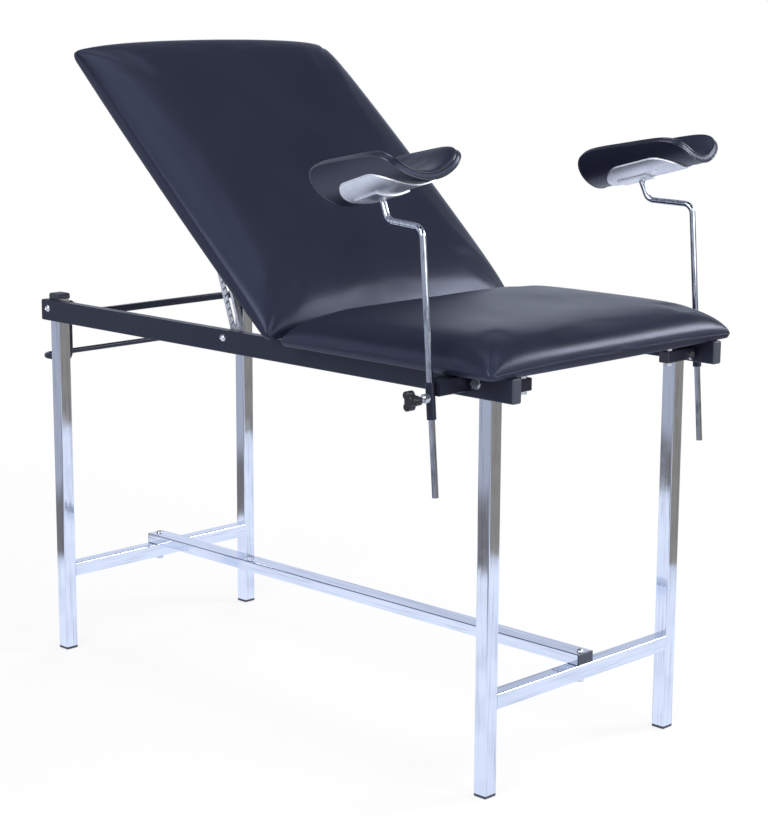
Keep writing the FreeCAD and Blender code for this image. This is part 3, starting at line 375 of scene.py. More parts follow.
@dataclass(frozen=True)
class ZincPlate:
    """Bright zinc plate with its mottled bloom."""

    name: str
    dark: Colour = (0.66, 0.67, 0.70)
    light: Colour = (0.84, 0.85, 0.88)
    gloss: tuple[float, float] = (0.26, 0.40)
    spangle_per_metre: float = 240.0
    cloud_per_metre: float = 120.0
    bloom: tuple[float, float] = (0.05, 0.4)
    bloom_strength: float = 0.1
    bloom_depth: float = 0.1 * MM

    def build(self) -> bpy.types.Material:
        """Cells times noise mottle the colour; the noise also varies the gloss."""
        tree = ShaderTree(self.name)
        place = tree.coords.outputs["Object"]
        spangle = tree.cells(place, self.spangle_per_metre)
        cloud = tree.noise(place, self.cloud_per_metre, 4.0)
        mottle = tree.spread(tree.math("MULTIPLY", spangle, cloud), 0.0, 1.0, *self.bloom)
        tree.surface(
            Base_Color=tree.blend(mottle, self.dark, self.light),
            Metallic=1.0,
            Roughness=tree.spread(cloud, *self.gloss),
            Normal=tree.bump(cloud, self.bloom_strength, self.bloom_depth))
        return tree.material


@dataclass(frozen=True)
class MouldedPlastic:
    """Moulded plastic with a spark-eroded texture."""

    name: str
    colour: Colour
    pale: Colour
    gloss: tuple[float, float] = (0.42, 0.55)
    speckle_per_metre: float = 60.0
    texture_per_metre: float = 1500.0
    texture_strength: float = 0.35
    texture_depth: float = 0.12 * MM

    def build(self) -> bpy.types.Material:
        """Fine noise as bump, coarser speckle in colour and gloss."""
        tree = ShaderTree(self.name)
        place = tree.coords.outputs["Object"]
        speckle = tree.noise(place, self.speckle_per_metre, 4.0)
        fine = tree.noise(place, self.texture_per_metre, 2.0)
        tree.surface(
            Base_Color=tree.blend(speckle, self.colour, self.pale),
            Roughness=tree.spread(speckle, *self.gloss),
            Normal=tree.bump(fine, self.texture_strength, self.texture_depth))
        return tree.material


@dataclass(frozen=True)
class Plywood:
    """Near-black plywood whose grain, along the table, shows through."""

    name: str = "plywood"
    pale: Colour = (0.050, 0.046, 0.044)
    dark: Colour = (0.018, 0.017, 0.018)
    gloss: tuple[float, float] = (0.6, 0.75)
    grain_scale: Point = (4.0, 90.0, 90.0)
    grain_share: float = 0.8
    fibre_scale: Point = (30.0, 1200.0, 1200.0)
    fibre_share: float = 0.2
    fibre_strength: float = 0.2
    fibre_depth: float = 0.2 * MM

    def build(self) -> bpy.types.Material:
        """The tone is a sum of two noises, both stretched along X: broad grain and fine fibre."""
        tree = ShaderTree(self.name)
        grain = tree.noise(tree.stretched(self.grain_scale), 1.0, 5.0)
        fibre = tree.noise(tree.stretched(self.fibre_scale), 1.0, 2.0)
        tone = tree.math("ADD", tree.math("MULTIPLY", grain, self.grain_share),
                         tree.math("MULTIPLY", fibre, self.fibre_share))
        tree.surface(
            Base_Color=tree.blend(tree.spread(tone, 0.0, 1.0), self.pale, self.dark),
            Roughness=tree.spread(tone, *self.gloss),
            Normal=tree.bump(fibre, self.fibre_strength, self.fibre_depth))
        return tree.material


FINISHES = {
    Slot.UPHOLSTERY: Leatherette(),
    Slot.PLYWOOD: Plywood(),
    Slot.BLACK_PLASTIC: MouldedPlastic(
        "black_plastic", (0.018, 0.021, 0.033), (0.066, 0.074, 0.104), speckle_per_metre=420.0),
    Slot.KNOB_PLASTIC: MouldedPlastic(
        "knob_plastic", (0.010, 0.010, 0.012), (0.016, 0.016, 0.019), gloss=(0.34, 0.46)),
    Slot.LINER_PLASTIC: MouldedPlastic("liner_plastic", (0.70, 0.69, 0.65), (0.78, 0.77, 0.73)),
    Slot.CHROME_TUBE: Chrome("chrome_tube"),
    # the rod's second, dark colour paints reflection streaks along it
    Slot.CHROME_ROD: Chrome(
        "chrome_rod", (0.62, 0.65, 0.71), (0.20, 0.21, 0.25), streaks=(300.0, 40.0), wear=(0.45, 0.75)),
    Slot.BRUSHED_PLATE: BrushedSteel(),
    Slot.BLACK_PAINT: PowderCoat(),
    Slot.ZINC_STEEL: ZincPlate("zinc_steel", light=(0.93, 0.94, 0.97), gloss=(0.44, 0.58)),
    Slot.FASTENER_STEEL: ZincPlate("fastener_steel"),
}
PIPING = replace(
    FINISHES[Slot.UPHOLSTERY], name="leatherette_piping", sheen=(0.9, 0.95, 1.0), gloss=(0.12, 0.16),
    grain_depth=0.03 * MM, specular=1.0)


@dataclass
class FinishShelf:
    """All finishes of the table, built once and handed out by slot."""

    materials: dict[Slot, bpy.types.Material] = field(default_factory=dict)
    tubes: dict[int, bpy.types.Material] = field(default_factory=dict)
    edging: bpy.types.Material | None = None

    def __getitem__(self, slot: Slot) -> bpy.types.Material:
        """The material of a slot, built on first use."""
        if slot not in self.materials:
            self.materials[slot] = FINISHES[slot].build()
        return self.materials[slot]

    def tube(self, node: bpy.types.Object) -> bpy.types.Material:
        """The chrome of a tube, drawn along the longest side of its node."""
        axis = int(np.ptp(read_points(node.data), axis=0).argmax())
        if axis not in self.tubes:
            drawn = replace(FINISHES[Slot.CHROME_TUBE], name=f"chrome_tube_{'xyz'[axis]}", axis=axis)
            self.tubes[axis] = drawn.build()
        return self.tubes[axis]

    def piping(self) -> bpy.types.Material:
        """The upholstery pulled tight over a cord: smoother and glossier than the cushions."""
        if self.edging is None:
            self.edging = PIPING.build()
        return self.edging

    def dress_frame(self) -> None:
        """Gives every CAD node the finish of its slot."""
        slots = {row["node"]: Slot(row["material_slot"]) for row in frame["record"]["subparts"]}
        for name, node in frame["nodes"].items():
            finish = self.tube(node) if slots[name] is Slot.CHROME_TUBE else self[slots[name]]
            if not node.material_slots:
                node.data.materials.append(finish)
            for place in node.material_slots:
                place.material = finish
        LOG.info("dressed %d nodes of the frame", len(slots))


def box_lattice(counts: tuple[int, int, int]) -> tuple[np.ndarray, np.ndarray]:
    """Surface of a cube from -1 to 1, cut into quads.

    Each of the six faces is a grid of integer lattice points; points that faces share are merged, so the
    surface is closed.

    Args:
        counts: Number of quads along each axis.

    Returns:
        Points (n, 3) and quads (m, 4) that face outwards.
    """
    faces = []
    for axis in range(3):
        first, second = (axis + 1) % 3, (axis + 2) % 3
        i, j = np.meshgrid(np.arange(counts[first]), np.arange(counts[second]), indexing="ij")
        low_face = (0, ((0, 0), (0, 1), (1, 1), (1, 0)))
        high_face = (counts[axis], ((0, 0), (1, 0), (1, 1), (0, 1)))
        for level, steps in (low_face, high_face):
            quad = np.zeros((*i.shape, 4, 3), dtype=int)
            quad[..., axis] = level
            for corner, (di, dj) in enumerate(steps):
                quad[..., corner, first] = i + di
                quad[..., corner, second] = j + dj
            faces.append(quad.reshape(-1, 4, 3))
    corners = np.concatenate(faces)
    points, where = np.unique(corners.reshape(-1, 3), axis=0, return_inverse=True)
    return points / np.array(counts) * 2.0 - 1.0, where.reshape(-1, 4)


def on_rim(lattice: np.ndarray) -> np.ndarray:
    """Whether each lattice point lies on one of the four sides."""
    return np.abs(lattice[:, :2]).max(axis=-1) > 1.0 - TINY


def crowd_edges(value: np.ndarray, share: float) -> np.ndarray:
    """Moves lattice values towards -1 and 1: a mix of the value and the sine of a quarter turn times it."""
    return (1.0 - share) * value + share * np.sin(value * np.pi / 2)


def rounded_plan(u: np.ndarray, v: np.ndarray, half: tuple[float, float], radius: float) -> np.ndarray:
    """Maps the square onto a rectangle with rounded corners.

    A point keeps its share of the way from the middle to the edge; the edge point on the rectangle is pushed
    onto the arc about the corner's centre.

    Args:
        u: First coordinate from -1 to 1.
        v: Second coordinate from -1 to 1.
        half: Half sizes of the rectangle.
        radius: Corner radius.

    Returns:
        Points (n, 2) in the plane.
    """
    share = np.maximum(np.abs(u), np.abs(v))
    edge = np.stack([u, v], axis=-1) / np.where(share > 0, share, 1.0)[:, None] * np.array(half)
    core = np.clip(edge, radius - np.array(half), np.array(half) - radius)
    away = edge - core
    reach = np.linalg.norm(away, axis=-1, keepdims=True)
    arc = core + away / np.where(reach > 0, reach, 1.0) * radius
    return np.where(reach > 0, arc, edge) * share[:, None]


def turn_about_y(points: np.ndarray, degrees: float) -> np.ndarray:
    """Turns points about the Y axis by the right-hand rule."""
    c, s = math.cos(math.radians(degrees)), math.sin(math.radians(degrees))
    return points @ np.array([[c, 0.0, s], [0.0, 1.0, 0.0], [-s, 0.0, c]]).T


def turn_about_z(points: np.ndarray, degrees: float) -> np.ndarray:
    """Turns points about the Z axis by the right-hand rule."""
    c, s = math.cos(math.radians(degrees)), math.sin(math.radians(degrees))
    return points @ np.array([[c, -s, 0.0], [s, c, 0.0], [0.0, 0.0, 1.0]]).T


def joint_place(name: str) -> np.ndarray:
    """Where a joint of the record stands, in the row frame."""
    return np.array(next(joint["pos_m"] for joint in frame["joints"] if joint["name"] == name))


def mesh_piece(name: str, points: np.ndarray, quads: np.ndarray,
               finish: bpy.types.Material) -> bpy.types.Object:
    """Makes a smooth-shaded mesh object at the origin.

    Args:
        name: Name of the piece.
        points: Vertices (n, 3) in metres in the row frame.
        quads: Faces (m, 4).
        finish: Material of the piece.

    Returns:
        The new object, linked to the scene.
    """
    mesh = bpy.data.meshes.new(name)
    mesh.from_pydata(points.tolist(), [], quads.tolist())
    mesh.polygons.foreach_set("use_smooth", np.ones(len(quads), dtype=bool))
    mesh.materials.append(finish)
    mesh.update()
    piece = bpy.data.objects.new(name, mesh)
    bpy.context.scene.collection.objects.link(piece)
    return piece


def read_points(mesh: bpy.types.Mesh) -> np.ndarray:
    """Vertices of a mesh as an array (n, 3)."""
    flat = np.empty(len(mesh.vertices) * 3)
    mesh.vertices.foreach_get("co", flat)
    return flat.reshape(-1, 3)


@dataclass(frozen=True)
class Swelling:
    """Cloth simulation that lets the cover swell under the foam, then is applied."""

    pressure: float = 2.5
    cap: float = 1.3 * MM
    frames: int = 20
    stretch_stiffness: float = 30.0
    bend_stiffness: float = 20.0

    def apply(self, piece: bpy.types.Object, held: np.ndarray) -> None:
        """Runs the simulation and writes the capped result into the mesh.

        Args:
            piece: Closed mesh to swell.
            held: True for each vertex that is fixed to its board.
        """
        group = piece.vertex_groups.new(name="held")
        group.add(np.flatnonzero(held).tolist(), 1.0, "REPLACE")
        cloth = piece.modifiers.new("swelling", "CLOTH")
        cloth.settings.vertex_group_mass = group.name
        cloth.settings.use_pressure = True
        cloth.settings.uniform_pressure_force = self.pressure
        cloth.settings.tension_stiffness = self.stretch_stiffness
        cloth.settings.compression_stiffness = self.stretch_stiffness
        cloth.settings.bending_stiffness = self.bend_stiffness
        cloth.settings.effector_weights.gravity = 0.0
        cloth.point_cache.frame_start, cloth.point_cache.frame_end = 1, self.frames
        scene = bpy.context.scene
        for number in range(1, self.frames + 1):
            scene.frame_set(number)
        posed = piece.evaluated_get(bpy.context.evaluated_depsgraph_get())
        swollen = read_points(posed.to_mesh())
        posed.to_mesh_clear()
        scene.frame_set(1)
        piece.modifiers.remove(cloth)
        piece.vertex_groups.remove(group)
        start = read_points(piece.data)
        move = swollen - start
        length = np.linalg.norm(move, axis=-1, keepdims=True)
        move *= np.minimum(1.0, self.cap / np.maximum(length, TINY))
        piece.data.vertices.foreach_set("co", (start + move).ravel())
        piece.data.update()
        LOG.info("%s swelled by %.1f mm at most", piece.name, float(np.minimum(length, self.cap).max()) / MM)


def smooth_piece(piece: bpy.types.Object, levels: int = 1) -> None:
    """Adds a subdivision surface with the same level in the view and the render."""
    smoother = piece.modifiers.new("smooth", "SUBSURF")
    smoother.levels = smoother.render_levels = levels


@dataclass
class Cushion:
    """Upholstered pad of the seat or backrest: a pillow that is pulled down at its edges and corners."""

    name: str
    node: str
    body: str
    hinge: np.ndarray
    angle: float
    crown: float
    edge: float
    corner_edge: float
    fall_length: float
    fall_width: float
    bow_head: float
    bow_foot: float
    bow_width: float
    overhang: float = 2 * MM
    corner_radius: float = 12 * MM
    draw_in: float = 4 * MM
    board_inset: float = 13 * MM
    board_depth: float = 8 * MM
    counts: tuple[int, int, int] = (84, 84, 10)
    crowding: float = 0.85
    corner_power: int = 3
    held_share: float = 0.7
    swelling: Swelling = Swelling()
    headroom: float = 2 * MM

    def flat_box(self) -> tuple[np.ndarray, np.ndarray]:
        """Box of the CAD pad laid flat about its hinge: the lowest and the highest corner."""
        flat = turn_about_y(read_points(frame["nodes"][self.node].data) - self.hinge, -self.angle)
        return flat.min(axis=0), flat.max(axis=0)

    def surface(self) -> tuple[np.ndarray, np.ndarray, np.ndarray]:
        """Points of the pillow.

        The top's height is the edge height plus the crown times two falls, one along each axis; a fall is the
        square root of one minus a power of the coordinate, so it leaves the edge upright and levels out. Each
        edge bows out in its middle by one minus the square of the way along it. The side draws in towards the
        bottom by a square, and the bottom is let in for the board.

        Returns:
            Points, quads, and whether each point is held by the board.
        """
        low, high = self.flat_box()
        half = (high - low)[:2] / 2.0 + self.overhang
        middle = np.array([*((low + high) / 2.0)[:2], low[2]])
        lattice, quads = box_lattice(self.counts)
        u, v = crowd_edges(lattice[:, :2], self.crowding).T
        up = (lattice[:, 2] + 1.0) / 2.0
        plan = rounded_plan(u, v, (half[0], half[1]), self.corner_radius)
        bow_end = np.where(u < 0, self.bow_head, self.bow_foot)
        plan = plan + np.stack([bow_end * (1.0 - v ** 2) * u, self.bow_width * (1.0 - u ** 2) * v], axis=-1)
        rim = on_rim(lattice)
        fall = np.sqrt(np.clip(1.0 - np.abs(u) ** self.fall_length, 0.0, 1.0))
        fall *= np.sqrt(np.clip(1.0 - np.abs(v) ** self.fall_width, 0.0, 1.0))
        near_corner = np.abs(u * v) ** self.corner_power
        edge = self.edge + (self.corner_edge - self.edge) * near_corner
        room = self.headroom
        top = edge + (self.crown - room - edge) * fall
        height = np.where(rim, edge * up, np.where(up > 0.5, top, 0.0))
        drawn = 1.0 - self.draw_in / half[1] * (1.0 - up) ** 2
        plan = plan * drawn[:, None]
        inside = np.all(np.abs(plan) < half - self.board_inset, axis=-1)
        height = np.where(inside & (up < 0.5) & ~rim, self.board_depth, height)
        flat = np.column_stack([plan, height]) + middle
        return turn_about_y(flat, self.angle) + self.hinge, quads, up < self.held_share

    def build(self, finishes: FinishShelf) -> bpy.types.Object:
        """Makes the pad, swells it and lets it stand for its CAD solid.

        Args:
            finishes: Shelf to take the upholstery from.

        Returns:
            The pad.
        """
        points, quads, held = self.surface()
        pad = mesh_piece(self.name, points, quads, finishes[Slot.UPHOLSTERY])
        self.swelling.apply(pad, held)
        smooth_piece(pad)
        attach(pad, self.body)
        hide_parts(self.node)
        LOG.info("%s: %d points", self.name, len(points))
        return pad


def closed_tube(path: np.ndarray, outward: np.ndarray, radius: float,
                sides: int) -> tuple[np.ndarray, np.ndarray]:
    """Round cord along a closed path.

    The section is a circle in the plane of the outward direction and its cross product with the tangent.

    Args:
        path: Points (n, 3) of the closed path.
        outward: Unit directions (n, 3), square to the path.
        radius: Radius of the cord.
        sides: Points round the section.

    Returns:
        Points and quads.
    """
    tangent = np.roll(path, -1, axis=0) - np.roll(path, 1, axis=0)
    tangent /= np.linalg.norm(tangent, axis=-1, keepdims=True)
    across = np.cross(tangent, outward)
    turn = np.linspace(0.0, 2 * np.pi, sides, endpoint=False)
    ring = np.cos(turn)[None, :, None] * outward[:, None, :] + np.sin(turn)[None, :, None] * across[:, None, :]
    points = (path[:, None, :] + radius * ring).reshape(-1, 3)
    i, j = np.meshgrid(np.arange(len(path)), np.arange(sides), indexing="ij")
    i_next, j_next = (i + 1) % len(path), (j + 1) % sides
    quads = np.stack([i * sides + j, i_next * sides + j, i_next * sides + j_next, i * sides + j_next], axis=-1)
    return points, quads.reshape(-1, 4)


@dataclass
class LegrestPad:
    """Padded trough of one legrest: a bent cushion with a boxed edge band between two piping cords."""

    side: Side
    half_length: float = 101.5 * MM
    head_span: float = 76.0
    foot_span: float = 61.5
    outer_radius: float = 86 * MM
    thickness: float = 20 * MM
    band: float = 11 * MM
    outline_power: float = 5.5
    rod_angle: float = -4.5
    swivel: float = 9.0
    lift: float = 4.6 * MM
    saddle: Point = (-72.66 * MM, 0.0, 302.55 * MM)
    saddle_angle: float = -11.0
    piping: float = 1.7 * MM
    piping_seat: float = 0.6
    piping_points: int = 60
    piping_sides: int = 8
    counts: tuple[int, int, int] = (60, 52, 4)
    crowding: float = 0.8
    fall_length: int = 5
    fall_width: int = 4
    band_bulge: float = 0.012
    held_share: float = 0.3
    swelling: Swelling = Swelling(pressure=3.0, cap=2 * MM)

    def roll_up(self, along: np.ndarray, arc: np.ndarray, depth: np.ndarray) -> np.ndarray:
        """Rolls flat points into the trough.

        The arc length over the outer radius is the angle from the bottom line; depth is measured from the
        outer face towards the trough's centre line.

        Args:
            along: Distance along the trough.
            arc: Arc length on the outer face.
            depth: Depth from the outer face.

        Returns:
            Points in the row frame.
        """
        angle = arc / self.outer_radius
        reach = self.outer_radius - depth
        flat = np.column_stack([along, reach * np.sin(angle), self.outer_radius - reach * np.cos(angle)])
        on_rod = turn_about_y(flat, self.saddle_angle) + np.array(self.saddle)
        swung = turn_about_z(on_rod, self.side.value * self.swivel)
        swung[:, 2] -= self.side.value * self.lift
        return turn_about_y(swung, self.rod_angle) + joint_place(f"{self.side.word}_legrest_swivel")

    def blank(self, u: np.ndarray, v: np.ndarray) -> np.ndarray:
        """Maps the square onto the flat blank of the cover.

        The outline is a superellipse: each coordinate shrinks by the root of one minus half the power of the
        other one. The half width goes evenly from the head end's to the foot end's.

        Args:
            u: Coordinate from -1 at the head end to 1 at the foot end.
            v: Coordinate across from -1 to 1.

        Returns:
            Points (n, 2): distance along the trough and arc length across it.
        """
        power = self.outline_power
        along = u * (1.0 - np.abs(v) ** power / 2.0) ** (1.0 / power)
        across = v * (1.0 - np.abs(u) ** power / 2.0) ** (1.0 / power)
        head, foot = np.radians([self.head_span, self.foot_span]) * self.outer_radius
        half_width = head + (foot - head) * (along + 1.0) / 2.0
        return np.column_stack([along * self.half_length, across * half_width])

    def surface(self) -> tuple[np.ndarray, np.ndarray, np.ndarray]:
        """Points of the trough pad.

        The thickness is the band plus a crown that falls towards the edge as the square root of one minus a
        power.

        Returns:
            Points, quads, and whether each point is held.
        """
        lattice, quads = box_lattice(self.counts)
        u, v = crowd_edges(lattice[:, :2], self.crowding).T
        up = (lattice[:, 2] + 1.0) / 2.0
        plan = self.blank(u, v)
        rim = on_rim(lattice)
        fall = (1.0 - np.abs(u) ** self.fall_length) * (1.0 - np.abs(v) ** self.fall_width)
        fall = np.sqrt(np.clip(fall, 0.0, 1.0))
        top = self.band + (self.thickness - self.band) * fall
        bulge = np.where(rim, 1.0 + self.band_bulge * np.sin(up * np.pi), 1.0)
        depth = np.where(rim, self.band * up, np.where(up > 0.5, top, 0.0))
        points = self.roll_up(plan[:, 0] * bulge, plan[:, 1] * bulge, depth)
        return points, quads, (up < self.held_share) | rim

    def piping_cord(self, depth: float, name: str, finishes: FinishShelf) -> bpy.types.Object:
        """One piping cord round the edge at a depth.

        Args:
            depth: Depth of the cord from the outer face.
            name: Name of the piece.
            finishes: Shelf to take the piping from.

        Returns:
            The cord.
        """
        turn = np.linspace(-1.0, 1.0, self.piping_points, endpoint=False)
        ones = np.ones_like(turn)
        u = np.concatenate([turn, ones, -turn, -ones])
        v = np.concatenate([-ones, turn, ones, -turn])
        plan = self.blank(u, v)
        deep = np.full(len(plan), depth)
        path = self.roll_up(plan[:, 0], plan[:, 1], deep)
        outward = self.roll_up(plan[:, 0], plan[:, 1], deep + 1 * MM) - path
        outward /= np.linalg.norm(outward, axis=-1, keepdims=True)
        points, quads = closed_tube(path, outward, self.piping, self.piping_sides)
        cord = mesh_piece(name, points, quads, finishes.piping())
        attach(cord, f"{self.side.word}_legrest")
        return cord

    def build(self, finishes: FinishShelf) -> bpy.types.Object:
        """Makes the pad and its piping and lets the pad stand for its CAD solid.

        Args:
            finishes: Shelf to take the upholstery from.

        Returns:
            The pad.
        """
        word = self.side.word
        points, quads, held = self.surface()
        pad = mesh_piece(f"{word}_trough_cushion", points, quads, finishes[Slot.UPHOLSTERY])
        self.swelling.apply(pad, held)
        smooth_piece(pad)
        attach(pad, f"{word}_legrest")
        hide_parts(f"{word}_legrest_pad")
        self.piping_cord(self.piping * self.piping_seat, f"{word}_trough_outer_piping", finishes)
        self.piping_cord(self.band, f"{word}_trough_inner_piping", finishes)
        LOG.info("%s trough pad: %d points", word, len(points))
        return pad


def facing(back: np.ndarray, place: np.ndarray, roll: float = 0.0) -> Matrix:
    """Matrix of a camera or lamp that looks against a direction, turned about it.

    Args:
        back: Direction from the target to the object.
        place: Position.
        roll: Turn about the view direction, in degrees.

    Returns:
        The 4 by 4 matrix.
    """
    back = back / np.linalg.norm(back)
    right = np.cross((0.0, 0.0, 1.0), back)
    right /= np.linalg.norm(right)
    above = np.cross(back, right)
    c, s = math.cos(math.radians(roll)), math.sin(math.radians(roll))
    rows = np.stack([c * right + s * above, c * above - s * right, back, place])
    return Matrix(np.column_stack([rows, [0.0, 0.0, 0.0, 1.0]]).T.tolist())


@dataclass(frozen=True)
class SoftBox:
    """Square soft lamp: where it stands and looks, its side and its power in watts."""

    name: str
    place: Point
    target: Point
    size: float
    power: float
    mirrored: bool = True

    def build(self) -> None:
        """Makes the lamp; one that isn't mirrored stays out of reflections."""
        light = bpy.data.lights.new(self.name, "AREA")
        light.size, light.energy = self.size, self.power
        lamp = bpy.data.objects.new(self.name, light)
        bpy.context.scene.collection.objects.link(lamp)
        lamp.matrix_world = facing(np.array(self.place) - np.array(self.target), np.array(self.place))
        lamp.visible_glossy = self.mirrored


@dataclass
class Studio:
    """Pale floor, soft lights, world and camera."""

    floor_colour: Colour = (0.86, 0.86, 0.87)
    floor_half: float = 14.0
    floor_level: float = -0.4 * MM
    floor_glow: float = 0.8
    glow_reach: tuple[float, float] = (1.1, 2.4)
    sheet_colour: Colour = (0.85, 0.91, 1.06)
    sheet_shade: Colour = (0.68, 0.74, 0.90)
    sheet_head: float = -1.05
    sheet_near: float = -1.2
    sheet_far: float = 1.88
    sheet_slant: float = 0.7
    sheet_fade: float = 0.05
    rug_width: tuple[float, float] = (0.45, 0.65)
    rug_colour: Colour = (0.19, 0.185, 0.195)
    near_room: Colour = (0.42, 0.445, 0.54)
    far_room: Colour = (0.30, 0.28, 0.255)
    room_dapple: Colour = (0.20, 0.19, 0.19)
    stand_corner: tuple[float, float] = (0.85, -0.85)
    stand_half: float = 0.45
    stand_colour: Colour = (0.035, 0.037, 0.05)
    wall_tones: tuple[tuple[float, Colour], ...] = (
        (0.0, (0.85, 0.92, 1.08)), (0.10, (0.86, 0.93, 1.10)), (0.25, (0.72, 0.78, 0.95)),
        (0.42, (0.20, 0.22, 0.29)), (0.82, (0.10, 0.11, 0.16)), (0.94, (1.9, 2.05, 2.4)))
    wall_end: tuple[float, float] = (-0.58, -0.30)
    wall_dim: float = 0.55
    dapple_per_metre: float = 5.0
    dapple_range: tuple[float, float] = (0.45, 0.75)
    world_colour: Colour = (0.93, 0.95, 1.0)
    world_light: float = 0.55
    lamps: tuple[SoftBox, ...] = (
        SoftBox("key", (0.9, -2.9, 2.6), (0.0, 0.0, 0.7), 2.2, 70.0),
        SoftBox("fill", (3.2, 0.2, 1.7), (0.2, 0.0, 0.6), 2.0, 35.0),
        SoftBox("window", (2.0, 2.9, 2.3), (0.2, 0.0, 0.7), 1.5, 76.0),
        SoftBox("rear", (-1.6, 2.6, 2.4), (0.0, 0.0, 0.8), 2.4, 40.0, mirrored=False))
    camera_azimuth: float = 44.5665
    camera_elevation: float = 11.4265
    camera_roll: float = 0.2702
    camera_place: Point = (2.59963, -2.54408, 1.22694)
    focal_pixels: float = 2085.59
    picture: tuple[int, int] = (768, 839)
    sensor: float = 36.0

    def build(self) -> None:
        """Sets up everything that isn't part of the table."""
        bpy.context.scene.view_settings.view_transform = "Standard"
        self.floor()
        self.world()
        for lamp in self.lamps:
            lamp.build()
        self.camera()

    def floor(self) -> None:
        """Large pale plane: diffuse for light, white where it is seen, a sheet in a room where mirrored."""
        square = np.array([[-1.0, -1.0], [1.0, -1.0], [1.0, 1.0], [-1.0, 1.0]]) * self.floor_half
        corners = np.column_stack([square, np.full(4, self.floor_level)])
        tree = ShaderTree("studio_floor")
        path = tree.tree.nodes.new("ShaderNodeLightPath")
        seen, mirrored = path.outputs["Is Camera Ray"], path.outputs["Is Glossy Ray"]
        split = tree.tree.nodes.new("ShaderNodeSeparateXYZ")
        tree.put(split, 0, tree.coords.outputs["Object"])
        x, y = split.outputs["X"], split.outputs["Y"]
        away = tree.math("MAXIMUM", tree.math("ABSOLUTE", x, 0.0), tree.math("ABSOLUTE", y, 0.0))
        glow = tree.spread(away, self.floor_glow, 1.0, *self.glow_reach)
        glow = tree.math("MAXIMUM", tree.math("MULTIPLY", seen, glow), mirrored)
        tone = self.mirrored_tone(tree, x, y)
        tree.surface(
            Base_Color=tree.blend(glow, self.floor_colour, (0.0, 0.0, 0.0)),
            Roughness=1.0, Specular_IOR_Level=0.0,
            Emission_Color=tree.blend(mirrored, (1.0, 1.0, 1.0), tone), Emission_Strength=glow)
        mesh_piece("studio_floor", corners, np.array([[0, 1, 2, 3]]), tree.material)

    def mirrored_tone(self, tree: ShaderTree, x: Socket, y: Socket) -> Socket:
        """Colour of the floor as metal mirrors it: a pale sheet, a rug and room round it, a camera stand.

        A place is past a limit where its distance beyond it is positive. The far limit runs at a slant, so it
        is a limit on Y plus a share of X.

        Args:
            tree: Tree of the floor's material.
            x: Place along the table.
            y: Place across the table.

        Returns:
            The colour.
        """
        cloud = tree.noise(tree.coords.outputs["Object"], self.dapple_per_metre, 4.0)
        dapple = tree.spread(cloud, 0.0, 1.0, *self.dapple_range)
        slanted = tree.math("ADD", y, tree.math("MULTIPLY", x, self.sheet_slant))
        beyond_far = self.past(tree, slanted, self.sheet_far)
        outside = tree.math("MAXIMUM", tree.math("SUBTRACT", self.sheet_head, x),
                            tree.math("SUBTRACT", self.sheet_near, y))
        off_rug = tree.spread(outside, 0.0, 1.0, *self.rug_width)
        near_side = tree.blend(off_rug, self.rug_colour, self.near_room)
        sheet = tree.blend(dapple, self.sheet_colour, self.sheet_shade)
        tone = tree.blend(self.past(tree, outside, 0.0), sheet, near_side)
        tone = tree.blend(beyond_far, tone, tree.blend(dapple, self.far_room, self.room_dapple))
        aside = tree.math("ABSOLUTE", tree.math("ADD", x, y), 0.0)
        not_far = tree.math("SUBTRACT", 1.0, self.past(tree, y, self.stand_corner[1]))
        not_aside = tree.math("SUBTRACT", 1.0, self.past(tree, aside, self.stand_half))
        stand = tree.math("MULTIPLY", self.past(tree, x, self.stand_corner[0]), not_far)
        stand = tree.math("MULTIPLY", stand, not_aside)
        return tree.blend(stand, tone, self.stand_colour)

    def past(self, tree: ShaderTree, value: Socket, limit: float) -> Socket:
        """0 before a limit and 1 after it, with a short fade."""
        return tree.spread(value, 0.0, 1.0, limit, limit + self.sheet_fade)

    def world(self) -> None:
        """World that gives soft light, is white where it is seen and a dim room where it is mirrored."""
        world = bpy.data.worlds.new("studio_world")
        bpy.context.scene.world = world
        world.use_nodes = True
        tree = world.node_tree
        tree.nodes.clear()
        output = tree.nodes.new("ShaderNodeOutputWorld")
        path = tree.nodes.new("ShaderNodeLightPath")
        light, seen, mirrored = (tree.nodes.new("ShaderNodeBackground") for _ in range(3))
        light.inputs["Color"].default_value = (*self.world_colour, 1.0)
        light.inputs["Strength"].default_value = self.world_light
        seen.inputs["Color"].default_value = (1.0, 1.0, 1.0, 1.0)
        self.mirrored_room(tree, mirrored)
        shader = light.outputs[0]
        rays = {"Is Glossy Ray": mirrored, "Is Transmission Ray": seen, "Is Camera Ray": seen}
        for ray, background in rays.items():
            mix = tree.nodes.new("ShaderNodeMixShader")
            tree.links.new(path.outputs[ray], mix.inputs[0])
            tree.links.new(shader, mix.inputs[1])
            tree.links.new(background.outputs[0], mix.inputs[2])
            shader = mix.outputs[0]
        tree.links.new(shader, output.inputs["Surface"])

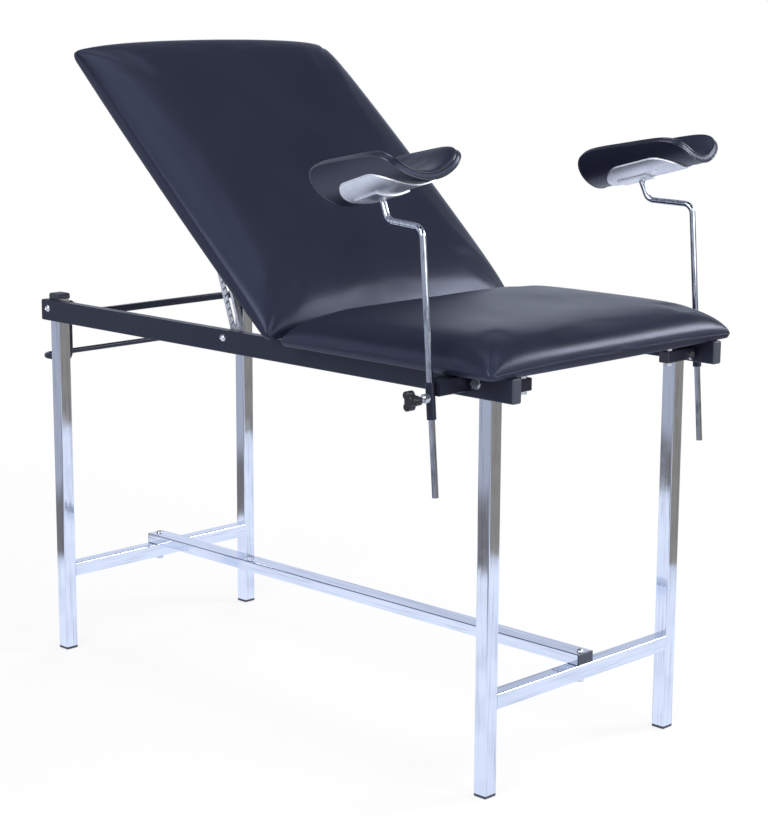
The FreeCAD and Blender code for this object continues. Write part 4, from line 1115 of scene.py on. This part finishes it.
    def mirrored_room(self, tree: bpy.types.NodeTree, background: bpy.types.Node) -> None:
        """Gives a background the room's tones: a ramp over the height of the direction, dimmer off the wall.

        Args:
            tree: Tree of the world.
            background: Background node to link.
        """
        direction = tree.nodes.new("ShaderNodeTexCoord")
        split = tree.nodes.new("ShaderNodeSeparateXYZ")
        ramp = tree.nodes.new("ShaderNodeValToRGB")
        while len(ramp.color_ramp.elements) < len(self.wall_tones):
            ramp.color_ramp.elements.new(0.5)
        for element, (height, tone) in zip(ramp.color_ramp.elements, self.wall_tones):
            element.position = height
            element.color = (*tone, 1.0)
        dimmer = tree.nodes.new("ShaderNodeMapRange")
        sockets = ("From Min", "From Max", "To Min", "To Max")
        for socket, value in zip(sockets, (*self.wall_end, 1.0, self.wall_dim)):
            dimmer.inputs[socket].default_value = value
        tree.links.new(direction.outputs["Generated"], split.inputs[0])
        tree.links.new(split.outputs["Z"], ramp.inputs[0])
        tree.links.new(ramp.outputs[0], background.inputs["Color"])
        tree.links.new(split.outputs["X"], dimmer.inputs["Value"])
        tree.links.new(dimmer.outputs["Result"], background.inputs["Strength"])

    def camera(self) -> None:
        """Camera at the photograph's angle, fitted to the legs and rails."""
        data = bpy.data.cameras.new("camera")
        data.sensor_width = self.sensor
        data.lens = self.focal_pixels / max(self.picture) * self.sensor
        data.clip_end = 100.0
        camera = bpy.data.objects.new("camera", data)
        bpy.context.scene.collection.objects.link(camera)
        a, e = math.radians(self.camera_azimuth), math.radians(self.camera_elevation)
        back = np.array([math.sin(a) * math.cos(e), -math.cos(a) * math.cos(e), math.sin(e)])
        camera.matrix_world = facing(back, np.array(self.camera_place), self.camera_roll)
        bpy.context.scene.camera = camera


def seat_cushion() -> Cushion:
    """The seat pad, on its board on the rails."""
    return Cushion(
        name="seat_cushion", node="seat_pad", body="frame", hinge=np.zeros(3), angle=0.0,
        crown=62 * MM, edge=17 * MM, corner_edge=10 * MM,
        fall_length=5.0, fall_width=8.0, bow_head=3 * MM, bow_foot=5 * MM, bow_width=2 * MM)


def backrest_cushion() -> Cushion:
    """The backrest pad, drawn flat from the hinge axis and turned to its angle."""
    return Cushion(
        name="backrest_cushion", node="backrest_pad", body="backrest",
        hinge=joint_place("backrest_recline"), angle=BACKREST_ANGLE,
        crown=52 * MM, edge=16 * MM, corner_edge=10 * MM,
        fall_length=9.0, fall_width=6.0, bow_head=11 * MM, bow_foot=3 * MM, bow_width=6 * MM)


def main() -> None:
    """Builds the studio, dresses the frame and makes the upholstery."""
    logging.basicConfig(level=logging.INFO, format="%(message)s")
    Studio().build()
    finishes = FinishShelf()
    finishes.dress_frame()
    seat_cushion().build(finishes)
    backrest_cushion().build(finishes)
    for side in Side:
        LegrestPad(side).build(finishes)


if __name__ == "__main__":
    main()
